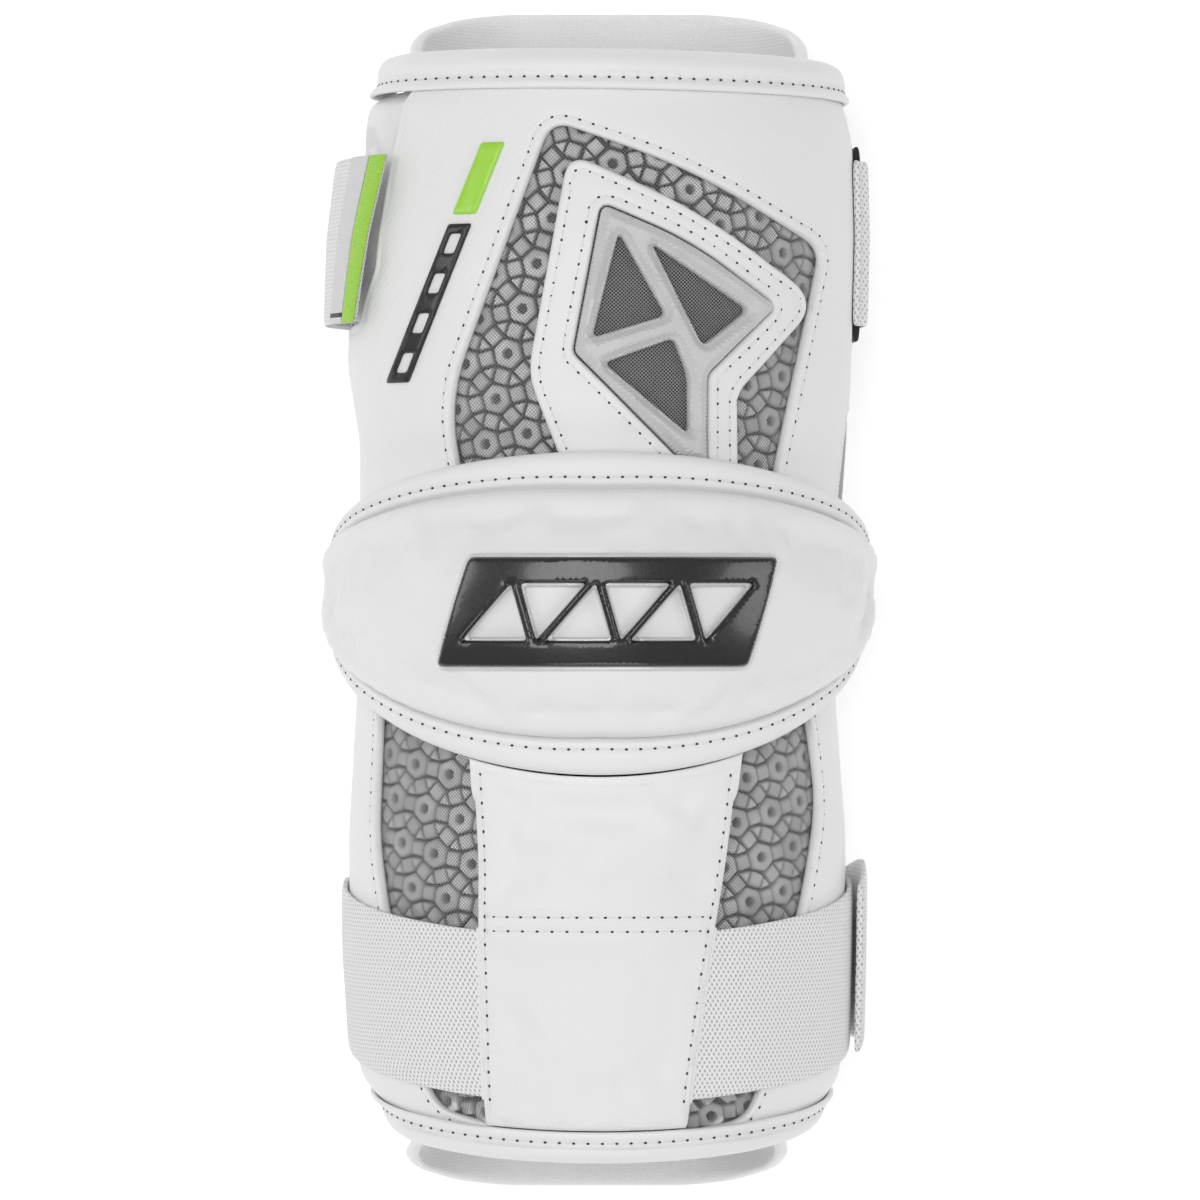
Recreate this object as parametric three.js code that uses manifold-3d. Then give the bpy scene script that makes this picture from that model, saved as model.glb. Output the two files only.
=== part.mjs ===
// A plain lacrosse arm pad, lying on its closed back with the elbow cap up, in millimetres.
// X runs across the arm, Y along it towards the upper arm and Z out of the elbow.
// Angles run round the arm in degrees: 0 is the middle of the front, 180 the middle of the back.
import * as THREE from "three";
import { mergeVertices } from "three/addons/utils/BufferGeometryUtils.js";
import Module from "manifold-3d";

const wasm = await Module();
wasm.setup();

// Driving dimensions of the sleeve
const HALF_LENGTH = 156;
const HALF_WIDTH = 60;
const DEPTH = 86; // of the sleeve alone, under the elbow
const WIDEST_HEIGHT = 38; // above the sleeve's flat back
const BACK_CORNER = 27; // how far in from the widest point the flat back starts
const LINER = 3.5;

// Driving dimensions of the layers on it
const CLEARANCE = 0.3;
const FOAM = 6.3;
const LEATHER = 2.5;
const PATCH = 2;
const TRUSS = 4.2;
const MARK = 0.5;
const PANEL = 7.2;
const WING = 6.6;
const STRAP = 1.8;
const LABEL = 0.5;
const WRAP = 112; // degrees round each side that the foam and leather reach

// Driving dimensions of the elbow cap
const CAP_REACH = 93; // degrees round each side
const CAP_BORDER = 9.6; // width of the flat border outside the dome's seam
const CAP_THICKNESS = 7.5;
const CAP_BASE = 4.5; // under the dome
const DOME_RISE = 14.5;
const DOME_EDGE = 2.6;
const SEAT = 0.6; // under a piece that spans many small facets

// Driving dimensions of the ends and straps
const TOP_ROLL = 7.6;
const BOTTOM_ROLL = 5.3;
const FLANGE = 3.2;
const FLANGE_THICKNESS = 1.8;
const FOREARM_STRAP_WIDTH = 44;
const UPPER_STRAP_WIDTH = 44;
const PATCH_MARGIN = 4; // of the black patch past the strap's edges
const END_MARGIN = 5; // of the forearm strap's folded end past its upper edge

// Sections along the arm: place as a share of HALF_LENGTH, half widths as shares of HALF_WIDTH,
// height of the front as a share of DEPTH
const SECTIONS = [
  { along: -1, left: 0.81, right: 0.77, height: 0.84 },
  { along: -0.965, left: 0.87, right: 0.83, height: 0.848 },
  { along: -0.94, left: 0.87, right: 0.845, height: 0.853 },
  { along: -0.915, left: 0.805, right: 0.81, height: 0.86 },
  { along: -0.88, left: 0.805, right: 0.84, height: 0.875 },
  { along: -0.82, left: 0.95, right: 0.955, height: 0.9 },
  { along: -0.78, left: 0.98, right: 0.975, height: 0.91 },
  { along: -0.6, left: 1.01, right: 0.985, height: 0.945 },
  { along: -0.4, left: 1.015, right: 0.99, height: 0.975 },
  { along: -0.17, left: 0.98, right: 0.945, height: 1.0 },
  { along: 0.05, left: 0.965, right: 0.96, height: 1.02 },
  { along: 0.27, left: 0.965, right: 1.0, height: 1.025 },
  { along: 0.4, left: 1.02, right: 1.015, height: 1.02 },
  { along: 0.62, left: 1.0, right: 1.03, height: 1.0 },
  { along: 0.78, left: 0.95, right: 1.02, height: 0.955 },
  { along: 0.84, left: 0.945, right: 0.985, height: 0.935 },
  { along: 0.88, left: 0.85, right: 0.945, height: 0.92 },
  { along: 0.92, left: 0.835, right: 0.93, height: 0.91 },
  { along: 0.95, left: 0.855, right: 0.925, height: 0.9 },
  { along: 1, left: 0.81, right: 0.875, height: 0.88 },
];

// Angles of the section's corners, from the middle of the front to the middle of the back
const QUARTER = [0, 10, 20, 30, 40, 50, 60, 70, 80, 90, 105, 120, 135, 150, 180];
const ANGLES = [...QUARTER.slice(1).reverse().map((a) => -a), ...QUARTER];
const WIDEST = 90;
const FLAT = 150; // the angle where the flat back starts

// How much of the foam's thickness is left, by the angle from the middle of the front
const FADE = [
  [0, 1],
  [60, 1],
  [90, 0.5],
  [WRAP, 0.3],
  [180, 0.3],
];

const rad = THREE.MathUtils.degToRad;
const lerp = THREE.MathUtils.lerp;
const clamp = THREE.MathUtils.clamp;

// Reads a table of [place, value] rows, straight between its rows.
function read(table, at) {
  const last = table.length - 1;
  const place = clamp(at, table[0][0], table[last][0]);
  const next = clamp(table.findIndex((row) => row[0] >= place), 1, last);
  const [[a, low], [b, high]] = [table[next - 1], table[next]];
  return lerp(low, high, (place - a) / (b - a));
}

const alongTable = (name) => SECTIONS.map((row) => [row.along * HALF_LENGTH, row[name]]);
const PROFILE = {
  left: alongTable("left"),
  right: alongTable("right"),
  height: alongTable("height"),
};
const STATIONS = SECTIONS.map((row) => row.along * HALF_LENGTH);
const BACK = STRAP + CLEARANCE; // the sleeve's back stands on its straps

// The sleeve's outer corner at one of the ANGLES, as [x, z], and the way out of it.
function corner(angle, y) {
  const side = Math.sign(angle) || 1;
  const turn = Math.abs(angle);
  const half = HALF_WIDTH * read(side < 0 ? PROFILE.left : PROFILE.right, y);
  const top = DEPTH * read(PROFILE.height, y) - WIDEST_HEIGHT;
  if (turn <= WIDEST) {
    const [s, c] = [Math.sin(rad(turn)), Math.cos(rad(turn))];
    return { x: side * half * s, z: WIDEST_HEIGHT + top * c, nx: side * s * top, nz: c * half };
  }
  const bend = rad((Math.min(turn, FLAT) - WIDEST) * (WIDEST / (FLAT - WIDEST)));
  const [s, c] = [Math.sin(bend), Math.cos(bend)];
  const flat = (half - BACK_CORNER) * ((180 - Math.max(turn, FLAT)) / (180 - FLAT));
  const x = turn <= FLAT ? half - BACK_CORNER + BACK_CORNER * c : flat;
  const z = WIDEST_HEIGHT - WIDEST_HEIGHT * s;
  return { x: side * x, z, nx: side * c * WIDEST_HEIGHT, nz: -s * BACK_CORNER };
}

function raised(angle, y, height) {
  const { x, z, nx, nz } = corner(angle, y);
  const size = Math.hypot(nx, nz);
  return [x + (height * nx) / size, z + (height * nz) / size];
}

// The point at an angle round the arm, a place along it and a height above the sleeve.
// It lies on the same facets for every piece, so that neighbouring layers nest.
function on(angle, y, height) {
  const next = clamp(ANGLES.findIndex((a) => a >= angle), 1, ANGLES.length - 1);
  const [a, b] = [ANGLES[next - 1], ANGLES[next]];
  const share = (angle - a) / (b - a);
  const [low, high] = [raised(a, y, height), raised(b, y, height)];
  return [lerp(low[0], high[0], share), y, BACK + lerp(low[1], high[1], share)];
}

// Turns a list of points and triangles into a solid.
function solid(points, faces) {
  const geometry = new THREE.BufferGeometry();
  geometry.setAttribute("position", new THREE.Float32BufferAttribute(points.flat(), 3));
  geometry.setIndex(faces);
  return solidOf(geometry);
}

function solidOf(geometry) {
  geometry.deleteAttribute("normal");
  geometry.deleteAttribute("uv");
  const merged = mergeVertices(geometry, 1e-4);
  const made = new wasm.Manifold(
    new wasm.Mesh({
      numProp: 3,
      vertProperties: merged.attributes.position.array,
      triVerts: new Uint32Array(merged.index.array),
    }),
  );
  return made;
}

// A closed sheet over a grid of [angle, y] places, between two heights above the sleeve.
// Each row of the grid holds the places along one angle. A ring joins its last row to its first.
function sheet(grid, low, high, ring = false) {
  const rows = grid.length;
  const count = grid[0].length;
  const layer = (height) => grid.flatMap((row) => row.map(([a, y]) => on(a, y, height(a, y))));
  const points = [...layer(low), ...layer(high)];
  const index = (i, j, top) => (top ? rows * count : 0) + (i % rows) * count + j;
  const faces = [];
  const quad = (a, b, c, d) => faces.push(a, b, c, a, c, d);
  for (let i = 0; i < (ring ? rows : rows - 1); i += 1) {
    for (let j = 0; j < count - 1; j += 1) {
      const around = [index(i, j), index(i + 1, j), index(i + 1, j + 1), index(i, j + 1)];
      const [a, b, c, d] = around;
      quad(a, d, c, b);
      quad(...around.map((n) => n + rows * count));
    }
    quad(index(i, 0), index(i + 1, 0), index(i + 1, 0, true), index(i, 0, true));
    const j = count - 1;
    quad(index(i + 1, j), index(i, j), index(i, j, true), index(i + 1, j, true));
  }
  for (let j = 0; !ring && j < count - 1; j += 1) {
    quad(index(0, j + 1), index(0, j), index(0, j, true), index(0, j + 1, true));
    const i = rows - 1;
    quad(index(i, j), index(i, j + 1), index(i, j + 1, true), index(i, j, true));
  }
  return solid(points, faces);
}

// The shared places between two limits, with the limits themselves.
const within = (places, from, to) => [from, ...places.filter((p) => p > from && p < to), to];
const anglesFrom = (from, to) => within(ANGLES, from, to);

// Two edges with the stations between them, each kept a little inside both edges.
const ROW_STEP = 0.5;
const stationed = (y0, y1, stations) => [
  y0,
  ...stations.map((y, i) =>
    clamp(y, y0 + ROW_STEP * (i + 1), y1 - ROW_STEP * (stations.length - i)),
  ),
  y1,
];

// A sheet between straight edges, which lies on the shared facets throughout.
function layer(from, to, y0, y1, low, high) {
  const rows = within(STATIONS, y0, y1);
  return sheet(
    anglesFrom(from, to).map((a) => rows.map((y) => [a, y])),
    low,
    high,
  );
}

// A closed tube round the arm whose section is a list of [y, height] corners.
function sweep(from, to, section) {
  const angles = anglesFrom(from, to);
  const rings = angles.map((a) => section(a).map(([y, height]) => on(a, y, height)));
  const count = rings[0].length;
  const faces = [];
  for (let i = 0; i < angles.length - 1; i += 1) {
    for (let j = 0; j < count; j += 1) {
      const k = (j + 1) % count;
      const [a, b, c, d] = [i * count + j, (i + 1) * count + j, (i + 1) * count + k, i * count + k];
      faces.push(a, b, c, a, c, d);
    }
  }
  const flat = section(from).map(([y, height]) => new THREE.Vector2(y, height));
  const last = (angles.length - 1) * count;
  const forward = THREE.ShapeUtils.area(flat) > 0;
  for (const [a, b, c] of THREE.ShapeUtils.triangulateShape(flat, [])) {
    const [p, q] = forward ? [b, c] : [c, b];
    faces.push(a, p, q, last + a, last + q, last + p);
  }
  return solid(rings.flat(), faces);
}

// The corner of an outline table, in millimetres.
const placed = ([across, along, radius]) => ({
  at: new THREE.Vector2(across * HALF_WIDTH, along * HALF_LENGTH),
  radius,
});

// A closed outline with its corners rounded.
function outline(table) {
  const corners = table.map(placed);
  const shape = new THREE.Shape();
  corners.forEach(({ at, radius }, i) => {
    const before = corners.at(i - 1).at;
    const after = corners[(i + 1) % corners.length].at;
    const reach = Math.min(radius, at.distanceTo(before) / 2.2, at.distanceTo(after) / 2.2);
    const start = at.clone().lerp(before, reach / at.distanceTo(before));
    const end = at.clone().lerp(after, reach / at.distanceTo(after));
    if (i === 0) shape.moveTo(start.x, start.y);
    else shape.lineTo(start.x, start.y);
    if (reach > 0) shape.quadraticCurveTo(at.x, at.y, end.x, end.y);
  });
  shape.closePath();
  return shape;
}

// An upright prism through the front of the pad, grown by a margin all round.
function prism(table, margin = 0) {
  const points = outline(table).getPoints(3);
  const grown = margin ? offset(points, margin) : points;
  const geometry = new THREE.ExtrudeGeometry(new THREE.Shape(grown), {
    depth: 2 * DEPTH,
    bevelEnabled: false,
  });
  geometry.translate(0, 0, BACK + WIDEST_HEIGHT * 0.7);
  return solidOf(geometry);
}

// Moves each side of a closed outline out by a margin.
function offset(points, margin) {
  const clean = points.filter((p, i) => p.distanceTo(points.at(i - 1)) > 1e-3);
  const turn = THREE.ShapeUtils.area(clean) < 0 ? -1 : 1;
  return clean.map((p, i) => {
    const before = p.clone().sub(clean.at(i - 1)).normalize();
    const after = clean[(i + 1) % clean.length].clone().sub(p).normalize();
    const out = new THREE.Vector2(before.y + after.y, -before.x - after.x).normalize();
    const slant = Math.max(0.4, out.x * after.y - out.y * after.x);
    return p.clone().addScaledVector(out, (turn * margin) / slant);
  });
}

// Heights above the sleeve of the faces that pieces share
const foamTop = (a) => FOAM * read(FADE, Math.abs(a));
const leatherLow = (a) => foamTop(a) + CLEARANCE;
const leatherTop = (a) => leatherLow(a) + LEATHER;
const onLeather = (a) => leatherTop(a) + CLEARANCE;
const onLiner = () => CLEARANCE;

// Where the front's layers end under the two collars. The upper edge leans down to the right.
const LEAN = 0.9;
const TOP_EDGE = 0.875 * HALF_LENGTH;
const BOTTOM_EDGE = -0.912 * HALF_LENGTH;
const BOTTOM_CURVE = 8; // how far the bottom edge climbs round the sides
const topEdge = (a) => TOP_EDGE - LEAN * Math.sin(rad(a));
const bottomEdge = (a) => BOTTOM_EDGE + BOTTOM_CURVE * (1 - Math.cos(rad(a)));

// The soft knit sleeve. Its ends are cut at a slant, so that the back wall stands out past the front.
const END_SLANT = 12.5; // how much shorter the front is
const SLANT_FROM = 72; // degrees from the middle of the front
const SLANT_TO = 104;
const slant = (a) => THREE.MathUtils.smoothstep(Math.abs(a), SLANT_FROM, SLANT_TO);
const frontEnd = (a) => END_SLANT * (1 - slant(a));

function linerSleeve() {
  const around = ANGLES.slice(1);
  const grid = around.map((a) => {
    const end = HALF_LENGTH - frontEnd(a);
    return stationed(-end, end, STATIONS.slice(1, -1)).map((y) => [a, y]);
  });
  return sheet(grid, () => -LINER, () => 0, true);
}

// The roll and the stitched flange that close the front's layers at each end
const COLLAR_REACH = 96;
const ROLL_RISE = 2.6; // of the roll above the leather

function collar(edge, way, roll) {
  return sweep(-COLLAR_REACH, COLLAR_REACH, (a) => {
    const fade = 1 - 0.55 * THREE.MathUtils.smoothstep(Math.abs(a), 50, COLLAR_REACH);
    const top = onLeather(a) + FLANGE_THICKNESS;
    const crest = leatherTop(a) + (ROLL_RISE + CLEARANCE) * fade;
    const y = (distance) => edge(a) + way * distance;
    const section = [
      [y(CLEARANCE), SEAT],
      [y(CLEARANCE), onLeather(a)],
      [y(-FLANGE), onLeather(a)],
      [y(-FLANGE), top],
      [y(0), top],
      [y(0.2 * roll), Math.max(top, crest)],
      [y(0.55 * roll), Math.max(top, crest) - 0.3],
      [y(0.85 * roll), crest * 0.72],
      [y(roll), crest * 0.35],
      [y(roll), SEAT],
    ];
    return way > 0 ? section : section.reverse();
  });
}

// The upper arm's leather panel: right of WING_LINE, and round both sides below the wing
const WING_LINE = [
  [0.43, -WRAP],
  [0.45, -95],
  [0.475, -68],
  [0.56, -60],
  [0.74, -57],
  [0.9, -52],
];
const wingAngle = (y) => read(WING_LINE, y / HALF_LENGTH);
const WING_GAP = 1.5; // degrees between the panel's edge and the wing
const WING_TOP = 0.865 * HALF_LENGTH;
const WING_BOTTOM = 0.47 * HALF_LENGTH;
const UPPER_LOW = 0.005 * HALF_LENGTH; // where the panel ends, under the cap
const CUTTER_REACH = 14; // above the sleeve
const CUTTER_DEPTH = 6; // below it

// A cutter for what lies on the wing's side of the panel's edge.
function wingSide(gap) {
  const rows = [0.4, 0.43, 0.45, 0.462, 0.475, 0.51, 0.56, 0.66, 0.74, 0.82, 0.84, 0.88, 0.92, 0.95];
  const edge = (row) => wingAngle(row * HALF_LENGTH) + gap;
  const grid = [0, 1, 2, 3, 4].map((step) =>
    rows.map((row) => [lerp(-WRAP - 12, edge(row), step / 4), row * HALF_LENGTH]),
  );
  return sheet(grid, () => -CUTTER_DEPTH, () => CUTTER_REACH);
}

// Cuts off what lies past an edge that is a function of the angle.
const CUT_STEP = 6;
function trimmed(piece, edge, way) {
  const rows = [0, 1, 2, 3, 4, 5].map((step) => (a) => edge(a) + way * step * CUT_STEP);
  const grid = anglesFrom(-WRAP - 5, WRAP + 5).map((a) => rows.map((row) => [a, row(a)]));
  const ordered = way > 0 ? grid : grid.map((row) => row.reverse());
  return piece.subtract(sheet(ordered, () => -CUTTER_DEPTH, () => CUTTER_REACH));
}

const upperLayer = (low, high, y0 = UPPER_LOW, reach = WRAP) =>
  trimmed(
    layer(-reach, reach, y0, TOP_EDGE + 2 * LEAN, low, high).subtract(wingSide(0)),
    topEdge,
    1,
  );
const forearmLayer = (low, high, from = -WRAP, to = WRAP) =>
  trimmed(layer(from, to, BOTTOM_EDGE - 1, FOREARM_HIGH, low, high), bottomEdge, -1);
const FOREARM_HIGH = -0.005 * HALF_LENGTH;

// Outlines seen from the front, as [share of HALF_WIDTH, share of HALF_LENGTH, corner radius]
const UPPER_WINDOW = [
  [-0.567, 0.128, 0],
  [-0.683, 0.327, 14],
  [-0.215, 0.801, 6],
  [0.4, 0.72, 60],
  [0.993, 0.592, 5],
  [0.727, 0.128, 0],
];
const PATCH_OUTLINE = [
  [-0.09, 0.154, 0],
  [-0.32, 0.375, 6],
  [-0.14, 0.747, 7],
  [0.417, 0.654, 60],
  [0.978, 0.503, 10],
  [0.605, 0.344, 3],
  [0.61, 0.154, 0],
];
const TRUSS_OUTLINE = [
  [0.01, 0.659, 2.5],
  [0.4, 0.596, 60],
  [0.775, 0.492, 2.5],
  [0.468, 0.376, 2],
  [0.468, 0.247, 0],
  [0.348, 0.247, 0],
  [-0.113, 0.413, 1.5],
];
const TRUSS_OPENINGS = [
  [
    [0.082, 0.612, 1],
    [-0.035, 0.436, 1],
    [0.29, 0.474, 1],
  ],
  [
    [0.225, 0.594, 1],
    [0.658, 0.485, 1],
    [0.45, 0.423, 1],
  ],
  [
    [0.017, 0.394, 1],
    [0.323, 0.436, 1],
    [0.387, 0.375, 1],
    [0.388, 0.276, 1],
  ],
];
const LEFT_WINDOW_EDGE = [
  [-0.972, -0.12, 0],
  [-0.985, -0.257, 8],
  [-0.999, -0.4, 20],
  [-0.955, -0.52, 8],
  [-0.8, -0.76, 8],
  [-0.735, -0.855, 6],
  [-0.464, -0.882, 0],
  [-0.2, -0.885, 0],
  [-0.2, -0.12, 0],
];
const RIGHT_WINDOW_EDGE = [
  [0.89, -0.12, 0],
  [0.94, -0.23, 6],
  [0.98, -0.34, 20],
  [0.93, -0.465, 12],
  [0.72, -0.8, 8],
  [0.66, -0.873, 6],
  [0.354, -0.893, 0],
  [0.1, -0.893, 0],
  [0.1, -0.12, 0],
];
const PANEL_OUTLINE = [
  [-0.55, -0.12, 0],
  [-0.543, -0.267, 0],
  [-0.521, -0.442, 30],
  [-0.525, -0.542, 20],
  [-0.504, -0.832, 10],
  [-0.464, -0.95, 0],
  [0.353, -0.95, 0],
  [0.389, -0.844, 10],
  [0.451, -0.657, 20],
  [0.548, -0.418, 30],
  [0.592, -0.258, 0],
  [0.6, -0.12, 0],
];

// The mesh window in the panel's right side, above the cap's tip: share of HALF_LENGTH, front edge
const SIDE_WINDOW = [
  [0.12, 75],
  [0.19, 76],
  [0.26, 78],
  [0.32, 81],
];
const SIDE_WINDOW_BACK = 104;

function sideWindow() {
  const grid = [0, 1, 2, 3].map((step) =>
    SIDE_WINDOW.map(([y, a]) => [lerp(a, SIDE_WINDOW_BACK, step / 3), y * HALF_LENGTH]),
  );
  return sheet(grid, () => -CUTTER_DEPTH, () => CUTTER_REACH);
}

function upperShell() {
  return upperLayer(leatherLow, leatherTop).subtract(prism(UPPER_WINDOW)).subtract(sideWindow());
}

function windowPatch() {
  return upperLayer(leatherLow, (a) => leatherLow(a) + PATCH)
    .intersect(prism(PATCH_OUTLINE))
    .subtract(prism(TRUSS_OUTLINE, CLEARANCE));
}

function trussInsert() {
  const capEdge = topOfCap(20) + CLEARANCE;
  const bar = upperLayer(leatherLow, (a) => leatherLow(a) + TRUSS, capEdge).intersect(
    prism(TRUSS_OUTLINE),
  );
  return TRUSS_OPENINGS.reduce((left, opening) => left.subtract(prism(opening)), bar);
}

// The flat mark beside the window: a slotted black bar and a short green end, both slanting.
const MARK_WIDTH = 0.1; // a share of HALF_WIDTH
const MARK_LINE = { across: [-0.883, -0.463], along: [0.365, 0.765] };
const markOutline = (from, to, inset = 0) =>
  [
    [from, -1],
    [from, 1],
    [to, 1],
    [to, -1],
  ].map(([share, side]) => [
    lerp(...MARK_LINE.across, share) + (side * (MARK_WIDTH - inset)) / 2,
    lerp(...MARK_LINE.along, share),
    0,
  ]);
const BAR_END = 0.66;
const TIP_START = 0.7;
const BAR_SLOTS = 4;

function mark(from, to) {
  const low = onLeather;
  return upperLayer(low, (a) => low(a) + MARK, topOfCap(0)).intersect(prism(markOutline(from, to)));
}

function markBars() {
  let bar = mark(0, BAR_END);
  const step = BAR_END / BAR_SLOTS;
  for (let i = 0; i < BAR_SLOTS; i += 1) {
    const slot = markOutline((i + 0.25) * step, (i + 0.75) * step, 0.5 * MARK_WIDTH);
    bar = bar.subtract(prism(slot));
  }
  return bar;
}

// The padded flap at the left, which fills out the side beyond the panel's edge.
const WING_BACK = -118;
const WING_TURN = -80; // where its columns start to follow the panel's edge
const WING_EDGE = 1.5; // its thickness at the edges
const WING_ROUND = 4; // how far its ends round off

function sideWing() {
  const share = (value, from, to) => clamp((value - from) / (to - from), 0, 1);
  const swell = (u) => Math.sqrt(1 - (2 * u - 1) ** 8);
  const high = (a, y) => {
    const across = share(a, WING_BACK, wingAngle(y) - WING_GAP);
    const along = share(y, WING_BOTTOM, WING_TOP);
    return onLiner() + WING_EDGE + (WING - WING_EDGE) * swell(along) * swell(across);
  };
  const rows = within(STATIONS, WING_BOTTOM, WING_TOP);
  rows.splice(1, 0, WING_BOTTOM + WING_ROUND);
  const last = rows.findIndex((y) => y > WING_TOP - WING_ROUND);
  rows.splice(last, 0, WING_TOP - WING_ROUND);
  const straight = [...anglesFrom(WING_BACK, WING_TURN), WING_BACK + 5].sort((a, b) => a - b);
  const grid = [
    ...straight.map((a) => rows.map((y) => [a, y])),
    ...[0.5, 0.8, 1].map((share) =>
      rows.map((y) => [lerp(WING_TURN, wingAngle(y) - WING_GAP, share), y]),
    ),
  ];
  return sheet(grid, () => SEAT, high);
}

// The elbow cap's border and seam, as curves of the angle, and the seam set in from the border.
const CAP_TOP = 38.4;
const CAP_BOTTOM = -45.3;
const CAP_TOP_BEND = 14; // how far the upper edge falls by CAP_BEND_AT
const CAP_BOTTOM_BEND = 23;
const CAP_BEND_AT = 65;
const bendAt = (a) => (a / CAP_BEND_AT) ** 2;
const topOfCap = (a) => CAP_TOP - CAP_TOP_BEND * bendAt(a);
const bottomOfCap = (a) => CAP_BOTTOM + CAP_BOTTOM_BEND * bendAt(a);
const TIP_SHARE = 0.5; // how much of the border is left at the cap's two tips
const border = (a) => CAP_BORDER * lerp(1, TIP_SHARE, Math.abs(a) / CAP_REACH);
const DOME_REACH = CAP_REACH - 5;
const DOME_STEP = 0.5; // degrees over which the base climbs to the border at the dome's ends
const BORDER_EDGE = 2.5; // of the border's rounded outer edge
const TIP_CUT = 3; // how far the tips' corners are cut back

// Distances across the cap at one angle, from its lower edge to its upper edge.
function capRows(a) {
  const cut = Math.abs(a) === CAP_REACH ? TIP_CUT : 0;
  const [y0, y1] = [bottomOfCap(a) + cut, topOfCap(a) - cut];
  const [s0, s1] = [bottomOfCap(a) + border(a), topOfCap(a) - border(a)];
  const inside = [0, 0.08, 0.22, 0.4, 0.6, 0.78, 0.92, 1].map((share) => lerp(s0, s1, share));
  return [y0, y0 + Math.min(BORDER_EDGE, (s0 - y0) / 3), s0 - CLEARANCE, ...inside];
}

function capHeights(a) {
  const end = Math.abs(a) > DOME_REACH - DOME_STEP;
  const rim = CAP_THICKNESS - BORDER_EDGE;
  const floor = end ? CAP_THICKNESS : CAP_BASE;
  return [rim, CAP_THICKNESS, CAP_THICKNESS, ...Array(8).fill(floor)];
}

const capSeat = (a) => leatherTop(a) + SEAT;
const DOME_ENDS = [DOME_REACH - DOME_STEP, DOME_REACH];
const capAngles = () =>
  [...anglesFrom(-CAP_REACH, CAP_REACH), ...DOME_ENDS, ...DOME_ENDS.map((a) => -a)].sort(
    (a, b) => a - b,
  );

function capBase() {
  const grid = capAngles().map((a) => {
    const rows = capRows(a);
    const cut = Math.abs(a) === CAP_REACH ? TIP_CUT : 0;
    const y1 = topOfCap(a) - cut;
    const s1 = rows.at(-1);
    const upper = [s1 + CLEARANCE, y1 - Math.min(BORDER_EDGE, (y1 - s1) / 3), y1];
    return [...rows, ...upper].map((y) => [a, y]);
  });
  const heights = new Map();
  grid.forEach((row) => {
    const half = capHeights(row[0][0]);
    const all = [...half, ...half.slice(0, 3).reverse()];
    row.forEach(([a, y], i) => heights.set(a + " " + y, all[i]));
  });
  return sheet(grid, capSeat, (a, y) => capSeat(a) + heights.get(a + " " + y));
}

// The dome's thickness on the base, full in the middle and low along its seam.
function domeThickness(a, y) {
  const [s0, s1] = [bottomOfCap(a) + border(a), topOfCap(a) - border(a)];
  const across = clamp((2 * y - s0 - s1) / (s1 - s0), -1, 1);
  const around = clamp(a / DOME_REACH, -1, 1);
  const swell = (1 - Math.abs(across) ** 2.6) ** 0.6 * (1 - Math.abs(around) ** 2.2) ** 0.8;
  return DOME_EDGE + (DOME_RISE - DOME_EDGE) * swell;
}

const domeSeat = (a) => capSeat(a) + CAP_BASE + CLEARANCE;
const domeTop = (a, y) => domeSeat(a) + domeThickness(a, y);

function capDome() {
  const reach = DOME_REACH - 3 * DOME_STEP;
  const grid = anglesFrom(-reach, reach).map((a) => {
    const [s0, s1] = [bottomOfCap(a) + border(a) + CLEARANCE, topOfCap(a) - border(a) - CLEARANCE];
    return [0, 0.04, 0.12, 0.25, 0.42, 0.58, 0.75, 0.88, 0.96, 1].map((share) => [
      a,
      lerp(s0, s1, share),
    ]);
  });
  return sheet(grid, domeSeat, domeTop);
}

// The raised lattice on the dome: two rails joined by slanting struts, on a slightly larger plate.
const BADGE_OUTLINE = [
  [-0.72, -0.11, 1.5],
  [-0.575, 0.071, 1.5],
  [0.787, 0.071, 1.5],
  [0.65, -0.11, 1.5],
];
const BADGE = 1.4;
const BADGE_PLATE = 0.6;
const BADGE_RAIL = 0.24; // a share of the badge's height
const BADGE_OPENINGS = 6;

function onDome(lift, thickness) {
  const reach = 55;
  const rows = Array.from({ length: 9 }, (_, i) => lerp(-0.14, 0.1, i / 8) * HALF_LENGTH);
  const grid = anglesFrom(-reach, reach).map((a) => rows.map((y) => [a, y]));
  const low = (a, y) => domeTop(a, y) + SEAT + lift;
  return sheet(grid, low, (a, y) => low(a, y) + thickness);
}

// A place in the badge: 0 to 1 along it and 0 to 1 up it.
function badgePlace(along, up) {
  const [p, q, r, s] = BADGE_OUTLINE;
  const mix = (i) => lerp(lerp(p[i], s[i], along), lerp(q[i], r[i], along), up);
  return [mix(0), mix(1), 0];
}

function badgeOpenings(inset) {
  const [low, high] = [BADGE_RAIL + inset, 1 - BADGE_RAIL - inset];
  const step = 0.94 / (BADGE_OPENINGS + 1);
  const half = (0.78 - 2.5 * inset) * step;
  return Array.from({ length: BADGE_OPENINGS }, (_, i) => {
    const middle = 0.03 + step * (i + 1);
    const [base, tip] = i % 2 ? [high, low] : [low, high];
    return [
      badgePlace(middle - half, base),
      badgePlace(middle, tip),
      badgePlace(middle + half, base),
    ];
  });
}

const BADGE_EDGE = 0.7; // of the plate past the lattice
const lattice = (plate, inset) =>
  badgeOpenings(inset).reduce((left, opening) => left.subtract(prism(opening)), plate);

const badgeOutline = () =>
  lattice(onDome(0, BADGE_PLATE).intersect(prism(BADGE_OUTLINE, BADGE_EDGE)), 0.03);
const capBadge = () =>
  lattice(onDome(BADGE_PLATE + CLEARANCE, BADGE).intersect(prism(BADGE_OUTLINE)), 0);

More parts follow.
